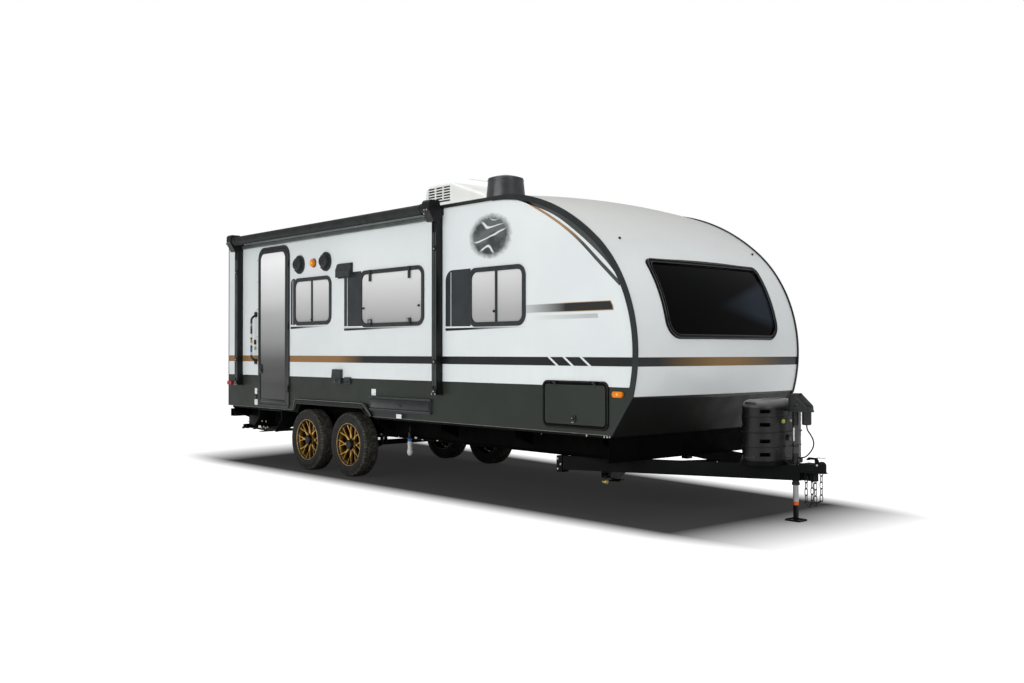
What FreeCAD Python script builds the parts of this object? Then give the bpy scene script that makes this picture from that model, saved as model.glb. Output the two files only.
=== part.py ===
import FreeCAD, Part
import math
import os

from FreeCAD import Vector

os.makedirs("parts", exist_ok=True)

# Travel caravan. +X points forward to the coupler, +Y to the road side, +Z up.
# The origin lies on the ground, on the centre plane, under the tongue jack's foot.
# All sizes are in millimetres. A "set" is a distance forward from the rear wall or,
# where its name says nose, back from the nose. Heights are taken from the ground.

# Body
body_width = 2390
body_length = 7467
nose_set = 763
wall_thick = 45
shell_thick = 50
wall_bottom_z = 730
roof_edge_z = 2985
roof_crown = 60
brow_radius = 2180
brow_turn_share = 0.2222
nose_radius = 1330
cap_bottom_z = 1070
skirt_foot_nose_set = 297
skirt_thick = 50

# Fits
seat_gap = 0.3
run_gap = 6
cut_over = 20
full_turn = 360
half_turn = 180
quarter_turn = 90

# Floor
floor_bottom_z = 705
floor_thick = 75

# Chassis
beam_inset = 328
beam_height = 220
beam_width = 80
beam_flange = 9
beam_web = 6
beam_rear_set = 20
beam_nose_set = 417
cross_height = 100
cross_width = 45
cross_wall = 5
cross_count = 7
header_length = 50
outrigger_thick = 30
outrigger_root = 150
outrigger_tip = 55
rail_height = 127
rail_width = 51
rail_wall = 6
rail_half_angle = 25
rail_apex_x = 100
rail_nose_gap = 6
rail_end_plate = 10
bumper_size = 102
bumper_wall = 5
bumper_inset = 88
bumper_arm = 90

# Coupler and safety chains
ball_x = 255
ball_z = 468
ball_radius = 29.7
socket_depth = 52.85
coupler_wall = 8
coupler_root_width = 150
coupler_height = 76
coupler_lip = 9
coupler_latch_rise = 52
coupler_latch_thick = 18
coupler_block_width = 40
chain_wire = 9
chain_link_length = 72
chain_link_width = 36
chain_wire_sides = 6
chain_path_points = 8
chain_y = 46
chain_rear_x = 132
chain_turns = (0, 0, 0, 0, 55, 125, 180, 180, 180, 180)

# Tongue jack
jack_tube_radius = 28.5
jack_tube_wall = 4
jack_leg_radius = 24
jack_tube_bottom_z = 310
jack_tube_top_z = 950
jack_collar_radius = 34
jack_collar_height = 22
drop_leg_half = 16.5
drop_leg_top_z = 130
jack_foot_length = 150
jack_foot_width = 130
jack_foot_thick = 6
jack_foot_lip = 10
jack_stroke = 250
jack_head_bottom_z = 944
jack_head_length = 210
jack_head_width = 106
jack_head_height = 160
jack_head_flare = 8
jack_head_nose = 55
jack_head_crown_share = 0.44
jack_motor_radius = 40
jack_motor_drop = 111
jack_plate_thick = 10

# Lead from the jack's motor back to its tube, as points of its route
lead_radius = 6
lead_route = ((109, 833), (109, 795), (150, 750), (180, 695), (172, 640), (130, 585), (82, 548), (34, 548))
lead_gland_radius = 10

# Gas bottle cover
cover_x = -245
cover_length = 640
cover_depth = 340
cover_bottom_z = 520
cover_top_z = 1044
cover_split_z = 770
cover_wall = 10
cover_shoulder = 70
cover_seam_lip = 6
cover_slot_length = 115
cover_slot_height = 33
cover_slot_depth = 16
cover_slot_height_shares = (0.11, 0.33, 0.60, 0.82)
cover_handle_length = 260
cover_handle_width = 28
cover_handle_rise = 10
tray_margin = 14

# Spare wheel under the rear floor
spare_set = 680
spare_radius = 340
spare_width = 185
spare_rim_radius = 200
spare_sides = 24
spare_bar = 40
spare_bar_z = 600

# Wheels and running gear
rear_axle_set = 2000
axle_spacing = 930
wheel_inset = 140
wheel_radius = 376
tyre_width = 205
rim_radius = 246
rim_width = 170
rim_flange = 11
rim_flange_thick = 7
rim_wall = 9
wheel_sides = 36
spoke_count = 8
spoke_thick = 24
spoke_set = 40
hub_radius = 78
hub_length = 46
centre_cap_radius = 44
centre_cap_length = 42
drum_radius = 122
drum_width = 70
drum_tip = 55
axle_radius = 31
spindle_radius = 22
spring_half = 330
spring_camber = 62
spring_leaf = 9
spring_width = 45
spring_leaf_shares = (1.0, 0.78, 0.56, 0.36)
eye_radius = 17
eye_bolt_radius = 8
hanger_thick = 6
hanger_width = 62
equaliser_drop = 26

# Wheel opening and fender trim
arch_rear_margin = 160
arch_front_margin = 530
arch_top_z = 822
arch_slant = 90
arch_corner = 45
fender_band = 54
fender_proud = 26
fender_wall = 6
well_wall = 6
well_depth = 315
well_top_z = 860

# Curb side door
door_rear_set = 865
door_width = 799
door_bottom_z = 748
door_top_z = 2820
door_trim = 34
door_trim_proud = 14
door_radius = 150
door_foot_radius = 60
door_stile_rear = 16
door_stile_front = 60
door_rail_top = 40
door_rail_bottom = 18
door_kick_height = 150
door_hinge_shares = (0.12, 0.5, 0.88)

# Hinges
knuckle_radius = 9
knuckle_length = 30
pin_radius = 4
hinge_leaf = 3

# Baggage hatches
hatch_nose_set = 1159
hatch_width = 833
hatch_bottom_z = 772
hatch_top_z = 1202
hatch_trim = 30
hatch_trim_proud = 10
hatch_radius = 62
hatch_hinge_shares = (0.2, 0.8)
hatch_latch_width = 46
hatch_latch_height = 60
hatch_latch_proud = 10
hatch_latch_rise = 91

# Side windows, each from its rear edge and the sill to its width and height
window_trim = 45
window_trim_proud = 12
window_sleeve = 14
window_radius = 110
window_bar = 26
pane_thick = 6
near_rear_window = (1767, 1790, 879, 587)
near_mid_window = (3255, 1742, 1225, 646)
front_window_nose_set = 2242
near_front_window_size = (1712, 847, 588)
far_rear_window = (730, 1742, 800, 588)
far_mid_window = (3530, 1742, 1225, 646)
window_hinge_width = 36
window_hinge_height = 130
window_hinge_proud = 14
window_hinge_shares = (0.18, 0.79)
window_latch_width = 60
window_latch_height = 88

# Front window, as turns up the nose arc and a half width
front_low_share = 0.055
front_high_share = 0.417
front_window_half = 833
front_window_top_radius = 62
front_window_low_radius = 165
front_trim = 42
front_trim_proud = 8
front_pane_thick = 8
front_pane_sink = 3

# Awning
arm_width = 82
arm_depth = 80
arm_wall = 8
arm_channel = 46
arm_bottom_z = 1017
arm_foot_height = 70
front_arm_set = 4752
rear_arm_set = 375
roller_radius = 60
roller_drop = 40
roller_z = roof_edge_z - roller_drop
roller_out = 125
roller_cap = 40
roller_bead = 9
head_length = 120
head_height = 160
head_taper_share = 0.45
arm_head_rise = 22

# Drip rail and mouldings
drip_height = 36
drip_proud = 14
drip_end_nose_set = 1612
moulding_width = 42
moulding_thick = 14

# Roof fittings
ac_set = 3360
ac_length = 1150
ac_width = 700
ac_height = 395
ac_base_height = 60
ac_edge = 35
ac_slope_start_share = 0.42
ac_slope_end_share = 0.94
ac_chin_share = 0.56
ac_nose_share = 0.3
ac_slot_depth = 14
ac_slot_rows = 5
ac_slot_columns = 3
ac_slot_length = 125
ac_slot_height = 20
ac_slot_pitch = 32
ac_slot_set = 70
ac_slot_drop = 40
antenna_brow_set = 311
antenna_side_set = 445
antenna_radius = 208
antenna_top_radius = 182
antenna_height = 225
antenna_crown = 34
antenna_foot_radius = 28
antenna_foot_height = 70
vent_set = 1730
vent_size = 400
vent_height = 70
vent_wall = 20
vent_lid_thick = 25
vent_lid_over = 10

# Side fittings
high_line_z = 2546
speaker_radius = 115
speaker_base = 18
speaker_dome_radius = 78
speaker_depth = 74
rear_speaker_set = 1914
front_speaker_set = 2528
porch_lamp_set = 2243
porch_lamp_radius = 48
porch_lamp_depth = 46
marker_nose_set = 213
marker_z = 1094
marker_length = 120
marker_height = 52
marker_depth = 22
rear_marker_set = 60
rear_marker_z = 1040
hood_set = 2788
hood_width = 318
hood_bottom_z = 2325
hood_height = 175
hood_depth = 48
hood_rim = 20
outlet_set = 2710
outlet_width = 182
outlet_bottom_z = 1090
outlet_height = 167
outlet_depth = 45
inlet_set = 2952
inlet_width = 124
inlet_height = 77
inlet_depth = 26
table_arch_set = 29
table_length = 1120
table_bottom_z = 800
table_height = 160
table_depth = 32
table_lip = 12
table_wall = 8
grip_set = 790
grip_bottom_z = 1335
grip_top_z = 1955
grip_radius = 14
grip_reach = 72
grip_bend = 55
grip_foot_width = 62
grip_foot_height = 70
grip_foot_thick = 16

# Tail lamps
tail_lamp_width = 90
tail_lamp_height = 260
tail_lamp_depth = 30
tail_lamp_inset = 145
tail_lamp_z = 1230

# Entry step
step_set = 780
step_width = 600
step_pivot_z = 455
step_out = 22
step_thick = 26
step_depth = 270
step_rib = 14
step_cheek = 8
step_cheek_top = 230
step_pin_radius = 6
step_lug_radius = 16

# Stabilisers
stab_length = 640
stab_width = 90
stab_channel_height = 50
stab_arm_height = 58
stab_arm_width = 30
stab_foot_length = 170
stab_foot_thick = 8
stab_screw_radius = 9
stab_nut_radius = 17
stab_nut_length = 22
front_stab_nose_set = 740
rear_stab_set = 370
rear_stab_side_set = 375
stab_nut_out = 65

# Worked out from the sizes above
half = body_width / 2
inner_half = half - wall_thick
nose_x = -nose_set
rear_x = nose_x - body_length
skirt_foot_x = nose_x - skirt_foot_nose_set
brow_turn = half_turn * brow_turn_share
nose_turn = quarter_turn - brow_turn
nose_cx = nose_x - nose_radius
brow_cx = nose_cx - (brow_radius - nose_radius) * math.sin(math.radians(brow_turn))
brow_cz = roof_edge_z - brow_radius
nose_cz = brow_cz + (brow_radius - nose_radius) * math.cos(math.radians(brow_turn))
cap_end_turn = math.degrees(math.asin((cap_bottom_z - nose_cz) / nose_radius))
wall_y = half + seat_gap
beam_y = half - beam_inset
beam_bottom_z = floor_bottom_z - beam_height
beam_rear_x = rear_x + beam_rear_set
beam_front_x = nose_x - beam_nose_set
beam_edge_y = beam_y + beam_width / 2
rail_top_z = beam_bottom_z - seat_gap
rail_bottom_z = rail_top_z - rail_height
wheel_y = half - wheel_inset
rear_axle_x = rear_x + rear_axle_set
front_axle_x = rear_axle_x + axle_spacing
axle_places = (rear_axle_x, front_axle_x)
arch_rear_x = rear_axle_x - arch_rear_margin
arch_front_x = front_axle_x + arch_front_margin
well_inner_y = half - well_depth
door_rear_x = rear_x + door_rear_set
door_front_x = door_rear_x + door_width
door_gap = door_trim + run_gap
hatch_rear_x = nose_x - hatch_nose_set
hatch_front_x = hatch_rear_x + hatch_width
low_turn = quarter_turn * front_low_share
high_turn = quarter_turn * front_high_share


# A window's rear, front, lower and upper edges
def window_edges(window):
    rear_set, sill_z, width, height = window
    x0 = rear_x + rear_set
    return x0, x0 + width, sill_z, sill_z + height


def front_side_window():
    sill_z, width, height = near_front_window_size
    rear_set = body_length - front_window_nose_set
    return rear_set, sill_z, width, height


# The side windows with a middle bar, and whether each is on the curb side (-1) or the road side (1)
side_windows = (
    (near_rear_window, -1, True),
    (near_mid_window, -1, False),
    (front_side_window(), -1, True),
    (far_rear_window, 1, True),
    (far_mid_window, 1, False),
    (front_side_window(), 1, True),
)


def box(x0, x1, y0, y1, z0, z1):
    return Part.makeBox(x1 - x0, y1 - y0, z1 - z0, Vector(x0, y0, z0))


# A box between two heights whose middle is at x and y
def centred_box(x, y, length, width, z0, z1):
    return box(x - length / 2, x + length / 2, y - width / 2, y + width / 2, z0, z1)


def rod(start, end, radius):
    way = end - start
    return Part.makeCylinder(radius, way.Length, start, way)


def prism(points, direction):
    wire = Part.makePolygon(points + [points[0]])
    return Part.Face(wire).extrude(direction)


# An outline in X and Z, run across from y0 to y1
def side_prism(pairs, y0, y1):
    return prism([Vector(x, y0, z) for x, z in pairs], Vector(0, y1 - y0, 0))


# An outline in Y and Z, run along from x0 to x1
def long_prism(pairs, x0, x1):
    return prism([Vector(x0, y, z) for y, z in pairs], Vector(x1 - x0, 0, 0))


def edges_along(shape, axis):
    found = []
    for edge in shape.Edges:
        if edge.Curve.TypeId == "Part::GeomLine":
            if abs(edge.tangentAt(edge.FirstParameter).dot(axis)) > 0.99:
                found.append(edge)
    return found


def rounded_panel(x0, x1, z0, z1, radius, y0, y1):
    panel = box(x0, x1, y0, y1, z0, z1)
    return panel.makeFillet(radius, edges_along(panel, Vector(0, 1, 0)))


# A panel with one radius for its top corners and another for its foot
def tall_panel(x0, x1, z0, z1, radius, foot_radius, y0, y1):
    panel = box(x0, x1, y0, y1, z0, z1)
    corners = edges_along(panel, Vector(0, 1, 0))
    panel = panel.makeFillet(radius, [e for e in corners if e.BoundBox.ZMin > (z0 + z1) / 2])
    corners = [e for e in edges_along(panel, Vector(0, 1, 0)) if e.BoundBox.ZMax < z0 + seat_gap]
    return panel.makeFillet(foot_radius, corners)


def ring_panel(x0, x1, z0, z1, radius, band, y0, y1):
    outer = rounded_panel(x0, x1, z0, z1, radius, y0, y1)
    inner_radius = max(radius - band, band / 4)
    inner = rounded_panel(x0 + band, x1 - band, z0 + band, z1 - band, inner_radius,
                          y0 - cut_over, y1 + cut_over)
    return outer.cut(inner)


def mirrored(shape):
    return shape.mirror(Vector(0, 0, 0), Vector(0, 1, 0))


# A piece that is drawn on the road side, put on the side that is asked for
def on_side(shape, side):
    return shape if side > 0 else mirrored(shape)


def moved(shape, way):
    copy = shape.copy()
    copy.translate(way)
    return copy


def save(name, shapes):
    solids = []
    for shape in shapes:
        solids.extend(shape.Solids)
    body = solids[0] if len(solids) == 1 else Part.makeCompound(solids)
    body.exportStep("parts/" + name + ".step")


# A closed ring of flat faces through a round of sections with as many points each
def faceted_ring(sections):
    faces = []
    count = len(sections[0])
    for i, here in enumerate(sections):
        there = sections[(i + 1) % len(sections)]
        for j in range(count):
            k = (j + 1) % count
            faces.append(Part.Face(Part.makePolygon([here[j], here[k], there[k], there[j], here[j]])))
    ring = Part.Solid(Part.Shell(faces))
    if ring.Volume < 0:
        ring.reverse()
    return ring


# An outline of radius and y, turned round the Y axis in flat steps
def turned_facets(outline, sides):
    sections = []
    for i in range(sides):
        a = math.radians(full_turn * i / sides)
        sections.append([Vector(r * math.cos(a), y, r * math.sin(a)) for r, y in outline])
    return faceted_ring(sections)


# A flat-sided disc round the Y axis
def facet_disc(radius, sides, y0, y1):
    corners = []
    for i in range(sides):
        a = math.radians(full_turn * i / sides)
        corners.append(Vector(radius * math.cos(a), y0, radius * math.sin(a)))
    return prism(corners, Vector(0, y1 - y0, 0))


# A wire of straight runs joined by tangent arcs, each arc as large as its runs and the limit allow
def bent_path(points, limit):
    edges = []
    radii = []
    last = points[0]
    for before, corner, after in zip(points, points[1:], points[2:]):
        back = (before - corner).normalize()
        on = (after - corner).normalize()
        turn = math.pi - back.getAngle(on)
        shorter = min((before - corner).Length, (after - corner).Length)
        radius = min(limit, 0.45 * shorter / math.tan(turn / 2))
        radii.append(radius)
        tangent = radius * math.tan(turn / 2)
        middle = (back + on).normalize()
        nearest = corner + middle * (radius / math.cos(turn / 2) - radius)
        first = corner + back * tangent
        edges.append(Part.LineSegment(last, first).toShape())
        last = corner + on * tangent
        edges.append(Part.Arc(first, nearest, last).toShape())
    edges.append(Part.LineSegment(last, points[-1]).toShape())
    return Part.Wire(edges), radii


def bent_tube(points, limit, radius):
    path, radii = bent_path(points, limit)
    way = points[1] - points[0]
    ring = Part.Wire(Part.makeCircle(radius, points[0], way))
    return path.makePipeShell([ring], True, True), path, radii


def crown_drop(y):
    return roof_crown * (1 - (y / half) ** 2)


def roof_z(y):
    return roof_edge_z + crown_drop(y)


# A point on the nose arc, so many degrees up and so far inside its face
def nose_point(turn, inset, y=0):
    r = nose_radius - inset
    a = math.radians(turn)
    return Vector(nose_cx + r * math.cos(a), y, nose_cz + r * math.sin(a))


# Side wall outline, inset from the roof and front so that the shell sits on it
def wall_outline(inset, y):
    top = roof_edge_z - inset
    r_brow = brow_radius - inset
    mid_brow = math.radians(quarter_turn - brow_turn / 2)
    brow_start = Vector(brow_cx, y, top)
    brow_mid = Vector(brow_cx + r_brow * math.cos(mid_brow), y, brow_cz + r_brow * math.sin(mid_brow))
    nose_start = nose_point(nose_turn, inset, y)
    nose_mid = nose_point((nose_turn + cap_end_turn) / 2, inset, y)
    nose_end = nose_point(cap_end_turn, inset, y)
    foot = Vector(skirt_foot_x - inset, y, wall_bottom_z)
    rear_foot = Vector(rear_x, y, wall_bottom_z)
    rear_top = Vector(rear_x, y, top)
    return Part.Wire([
        Part.LineSegment(rear_foot, rear_top).toShape(),
        Part.LineSegment(rear_top, brow_start).toShape(),
        Part.Arc(brow_start, brow_mid, nose_start).toShape(),
        Part.Arc(nose_start, nose_mid, nose_end).toShape(),
        Part.LineSegment(nose_end, foot).toShape(),
        Part.LineSegment(foot, rear_foot).toShape(),
    ])


# The cut through wall and trim above a pair of wheels, grown by a band
def arch_outline(band):
    low = wall_bottom_z - cut_over
    top = arch_top_z + band
    return [
        (arch_rear_x - band - arch_corner, low),
        (arch_rear_x - band, top - arch_corner),
        (arch_rear_x - band + arch_corner, top),
        (arch_front_x - arch_slant + band / 2, top),
        (arch_front_x + band, wall_bottom_z + band / 2),
        (arch_front_x + band, low),
    ]


def window_hole(window):
    x0, x1, z0, z1 = window_edges(window)
    t = window_sleeve
    return rounded_panel(x0 + t, x1 - t, z0 + t, z1 - t, window_radius, inner_half - cut_over, half + cut_over)


def side_wall(side):
    wall = Part.Face(wall_outline(shell_thick + seat_gap, inner_half)).extrude(Vector(0, wall_thick, 0))
    y0 = inner_half - cut_over
    y1 = half + cut_over
    t = hatch_trim
    hatch = rounded_panel(hatch_rear_x + t, hatch_front_x - t, hatch_bottom_z + t, hatch_top_z - t,
                          hatch_radius - t, y0, y1)
    wall = wall.cut(hatch).cut(side_prism(arch_outline(0), y0, y1))
    if side < 0:
        t = door_trim
        door = door_panel(t, y0, y1)
        wall = wall.cut(door)
    for window, window_side, _ in side_windows:
        if window_side == side:
            wall = wall.cut(window_hole(window))
    return on_side(wall, side)


# A closed band in the YZ plane: crowned outside and inside
def crown_band(z_out, thick, y_half):
    edge_out = z_out + crown_drop(y_half)
    edge_in = edge_out - thick
    left_out = Vector(0, -y_half, edge_out)
    right_out = Vector(0, y_half, edge_out)
    left_in = Vector(0, -y_half, edge_in)
    right_in = Vector(0, y_half, edge_in)
    middle_out = Vector(0, 0, z_out + roof_crown)
    middle_in = Vector(0, 0, z_out + roof_crown - thick)
    return Part.Wire([
        Part.Arc(left_out, middle_out, right_out).toShape(),
        Part.LineSegment(right_out, right_in).toShape(),
        Part.Arc(right_in, middle_in, left_in).toShape(),
        Part.LineSegment(left_in, left_out).toShape(),
    ])


# The crowned band stood across an arc of the front, at one place on its turn
def turned_band(cx, cz, radius, turn, outer=0, thick=shell_thick):
    band = crown_band(cz + radius + outer, thick, half)
    band.rotate(Vector(0, 0, cz), Vector(0, 1, 0), quarter_turn - turn)
    band.translate(Vector(cx, 0, 0))
    return band


def build_roof():
    band = crown_band(roof_edge_z, shell_thick, half)
    band.translate(Vector(rear_x, 0, 0))
    save("roof_shell", [Part.Face(band).extrude(Vector(brow_cx - rear_x, 0, 0))])


# The front: a wide brow and a tighter nose, swept as one crowned shell with the window cut
def build_front():
    brow_face = Part.Face(turned_band(brow_cx, brow_cz, brow_radius, quarter_turn))
    brow = brow_face.revolve(Vector(brow_cx, 0, brow_cz), Vector(0, 1, 0), brow_turn)
    nose_face = Part.Face(turned_band(nose_cx, nose_cz, nose_radius, nose_turn))
    nose = nose_face.revolve(Vector(nose_cx, 0, nose_cz), Vector(0, 1, 0), nose_turn - cap_end_turn)
    cap = brow.fuse(nose).removeSplitter()
    save("front_cap", [cap.cut(window_sector(front_trim / 2))])
    save("front_skirt", [skirt_panel()])


# A wedge through the nose with rounded corners, as wide and high as the front window less a margin
def window_sector(margin):
    turn_margin = math.degrees(margin / nose_radius)
    low = low_turn + turn_margin
    high = high_turn - turn_margin
    width = front_window_half - margin
    r0 = nose_radius - 2 * shell_thick
    r1 = nose_radius + roof_crown + shell_thick
    start = Vector(r0, -width, 0)
    corners = [start, Vector(r1, -width, 0), Vector(r1, width, 0), Vector(r0, width, 0), start]
    sector = Part.Face(Part.makePolygon(corners)).revolve(Vector(0, 0, 0), Vector(0, -1, 0), high - low)
    ray = Vector(1, 0, 0)
    low_edges = edges_along(sector, ray)
    sector = sector.makeFillet(front_window_low_radius - margin, low_edges)
    a = math.radians(high - low)
    high_edges = edges_along(sector, Vector(math.cos(a), 0, math.sin(a)))
    sector = sector.makeFillet(front_window_top_radius - margin, high_edges)
    sector.rotate(Vector(0, 0, 0), Vector(0, -1, 0), low)
    sector.translate(Vector(nose_cx, 0, nose_cz))
    return sector


# A thin crowned skin that follows the nose, so far outside its face and so thick
def nose_skin(outer, thick):
    over = brow_turn / 4
    band = turned_band(nose_cx, nose_cz, nose_radius, high_turn + over, outer, thick)
    turn = high_turn + over - cap_end_turn
    return Part.Face(band).revolve(Vector(nose_cx, 0, nose_cz), Vector(0, 1, 0), turn)


def build_front_window():
    ring = nose_skin(seat_gap + front_trim_proud, front_trim_proud)
    ring = ring.common(window_sector(0)).cut(window_sector(front_trim))
    save("front_window_frame", [ring])
    pane = nose_skin(-front_pane_sink, front_pane_thick)
    save("front_window_pane", [pane.common(window_sector(front_trim / 2 + seat_gap))])


def skirt_panel():
    top = turned_band(nose_cx, nose_cz, nose_radius, cap_end_turn, 0, skirt_thick)
    foot = crown_band(0, skirt_thick, half)
    foot.rotate(Vector(0, 0, 0), Vector(0, 1, 0), quarter_turn)
    foot.translate(Vector(skirt_foot_x, 0, wall_bottom_z))
    panel = Part.makeLoft([top, foot], True, True)
    panel.translate(Vector(0, 0, -seat_gap))
    return panel


def rear_panel():
    y = inner_half - seat_gap
    z_edge = roof_edge_z - shell_thick - seat_gap + crown_drop(y)
    z_middle = roof_edge_z - shell_thick - seat_gap + roof_crown
    left = Vector(rear_x, -y, z_edge)
    right = Vector(rear_x, y, z_edge)
    left_foot = Vector(rear_x, -y, wall_bottom_z)
    right_foot = Vector(rear_x, y, wall_bottom_z)
    wire = Part.Wire([
        Part.Arc(left, Vector(rear_x, 0, z_middle), right).toShape(),
        Part.LineSegment(right, right_foot).toShape(),
        Part.LineSegment(right_foot, left_foot).toShape(),
        Part.LineSegment(left_foot, left).toShape(),
    ])
    return Part.Face(wire).extrude(Vector(wall_thick, 0, 0))


def build_walls():
    save("curb_wall", [side_wall(-1)])
    save("road_wall", [side_wall(1)])
    save("rear_wall", [rear_panel()])


def well_ends():
    return arch_rear_x - arch_corner - well_wall, arch_front_x + well_wall + run_gap


def build_floor():
    y = inner_half - seat_gap
    z0 = floor_bottom_z
    z1 = floor_bottom_z + floor_thick
    deck_front = skirt_foot_x - skirt_thick - wall_thick / 2
    deck = box(rear_x + wall_thick + seat_gap, deck_front, -y, y, z0, z1)
    x0, x1 = well_ends()
    notch = box(x0 - seat_gap, x1 + seat_gap, well_inner_y, half, z0 - cut_over, z1 + cut_over)
    save("floor", [deck.cut(notch).cut(mirrored(notch))])


# Plastic tub over each pair of wheels, open below and towards the wall
def well_tub():
    x0, x1 = well_ends()
    y0 = well_inner_y + seat_gap
    y1 = inner_half - seat_gap
    t = well_wall
    outer = box(x0, x1, y0, y1, floor_bottom_z, well_top_z)
    return outer.cut(box(x0 + t, x1 - t, y0 + t, half, floor_bottom_z - cut_over, well_top_z - t))


# Moulded trim round the wheel opening: a proud rim with a thinner flange behind it
def fender_trim():
    y1 = half + fender_proud
    body = side_prism(arch_outline(fender_band), wall_y, y1)
    outer_edges = [e for e in edges_along(body, Vector(1, 0, 0)) if e.BoundBox.YMin > y1 - seat_gap
                   and e.BoundBox.ZMin > arch_top_z]
    body = body.makeChamfer(fender_proud / 2, outer_edges)
    body = body.cut(side_prism(arch_outline(0), wall_y - cut_over, y1 + cut_over))
    pocket = side_prism(arch_outline(fender_band - fender_wall), wall_y - cut_over, wall_y + fender_wall)
    low = box(arch_rear_x - body_width, arch_front_x + body_width, wall_y - cut_over, y1 + cut_over,
              wall_bottom_z - 2 * cut_over, wall_bottom_z)
    lip = side_prism(arch_outline(fender_wall), wall_y - cut_over, half + fender_band)
    return body.cut(low).cut(pocket.cut(lip))


def build_wells():
    tub = well_tub()
    save("wheel_wells", [tub, mirrored(tub)])
    trim = fender_trim()
    save("fender_trims", [trim, mirrored(trim)])


# Rolled beam along each side with its web in the middle
def i_beam():
    w = beam_width / 2
    t = beam_web / 2
    z0 = beam_bottom_z
    z1 = floor_bottom_z
    f = beam_flange
    outline = [(-w, z0), (w, z0), (w, z0 + f), (t, z0 + f), (t, z1 - f), (w, z1 - f), (w, z1), (-w, z1),
               (-w, z1 - f), (-t, z1 - f), (-t, z0 + f), (-w, z0 + f)]
    return long_prism([(beam_y + y, z) for y, z in outline], beam_rear_x, beam_front_x)


def cross_places():
    rear = beam_rear_x + cross_width
    front = beam_front_x - cross_width
    return [rear + (front - rear) * i / (cross_count - 1) for i in range(cross_count)]


# Pressed channel between the beams, open to the rear
def cross_member(x):
    y = beam_edge_y - beam_width - seat_gap
    z1 = floor_bottom_z - seat_gap
    x0 = x - cross_width / 2
    body = box(x0, x0 + cross_width, -y, y, z1 - cross_height, z1)
    hollow = box(x0 - cut_over, x0 + cross_width - cross_wall, -half, half, z1 - cross_height + cross_wall,
                 z1 - cross_wall)
    return body.cut(hollow)


# Tapered bracket that carries the floor's edge outside the beam
def outrigger(x, side):
    root_y = beam_edge_y + seat_gap
    z1 = floor_bottom_z - seat_gap
    x0 = x - outrigger_thick / 2
    tip_z = z1 - outrigger_tip
    root_z = z1 - outrigger_root
    arm = long_prism([(root_y, z1), (inner_half, z1), (inner_half, tip_z), (root_y, root_z)],
                     x0, x0 + outrigger_thick)
    t = cross_wall
    y0 = root_y - cut_over
    y1 = inner_half + cut_over
    hollow = long_prism([(y0, z1 - t), (y1, z1 - t), (y1, tip_z + t), (y0, root_z + t)],
                        x0 - cut_over, x0 + outrigger_thick - t)
    return on_side(arm.cut(hollow), side)


def step_ends():
    x0 = rear_x + step_set
    return x0, x0 + step_width


def outriggers():
    arms = []
    well_rear, well_front = well_ends()
    step_rear, step_front = step_ends()
    for x in cross_places():
        at_wheels = well_rear - outrigger_thick < x < well_front + outrigger_thick
        at_step = step_rear - outrigger_thick < x < step_front + outrigger_thick
        if not at_wheels:
            arms.append(outrigger(x, 1))
        if not at_wheels and not at_step:
            arms.append(outrigger(x, -1))
    return arms


# Bar between the beams' webs that the spare wheel hangs from
def spare_carrier():
    y = beam_y - beam_web / 2 - seat_gap
    return centred_box(rear_x + spare_set, 0, spare_bar, 2 * y, spare_bar_z, spare_bar_z + spare_bar / 2)


# Pressed channel across the beams' front ends, open to the rear
def front_header():
    x0 = beam_front_x + seat_gap
    x1 = x0 + header_length
    z0 = beam_bottom_z
    z1 = floor_bottom_z - seat_gap
    t = cross_wall
    body = box(x0, x1, -inner_half, inner_half, z0, z1)
    return body.cut(box(x0 - cut_over, x1 - t, -half, half, z0 + t, z1 - t))


# Box rail of the tongue, closed by a plate at its rear end
def tongue_rail():
    a = math.radians(rail_half_angle)
    length = beam_edge_y / math.sin(a) + rail_width
    w = rail_width / 2
    z0 = rail_bottom_z
    z1 = rail_top_z
    rail = box(0, length, -w, w, z0, z1)
    t = rail_wall
    rail = rail.cut(box(t, length - rail_end_plate, -w + t, w - t, z0 + t, z1 - t))
    rail.rotate(Vector(0, 0, 0), Vector(0, 0, 1), half_turn - rail_half_angle)
    rail.translate(Vector(rail_apex_x, w, 0))
    keep = box(rail_apex_x - 2 * length, rail_apex_x - cut_over, rail_nose_gap / 2, half,
               z0 - cut_over, z1 + cut_over)
    return rail.common(keep)


# Square tube across the rear, carried by two short arms on the beams' ends
def rear_bumper():
    x1 = rear_x - seat_gap
    x0 = x1 - bumper_size
    y = half - bumper_inset
    z0 = beam_bottom_z + bumper_arm
    z1 = z0 + bumper_size
    t = bumper_wall
    tube = box(x0, x1, -y, y, z0, z1)
    tube = tube.cut(box(x0 + t, x1 - t, -half, half, z0 + t, z1 - t))
    arms = []
    for side in (-1, 1):
        arms.append(centred_box((x1 + beam_rear_x) / 2, side * beam_y, beam_rear_x - x1 - seat_gap * 2,
                                beam_width - beam_web, z0, z1))
    return tube.fuse(arms).removeSplitter()


def build_chassis():
    beam = i_beam()
    rail = tongue_rail()
    save("main_beams", [beam, mirrored(beam)])
    crosses = [cross_member(x) for x in cross_places()]
    save("cross_members", crosses + outriggers() + [spare_carrier(), front_header()])
    save("tongue_rails", [rail, mirrored(rail)])
    save("rear_bumper", [rear_bumper()])


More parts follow.
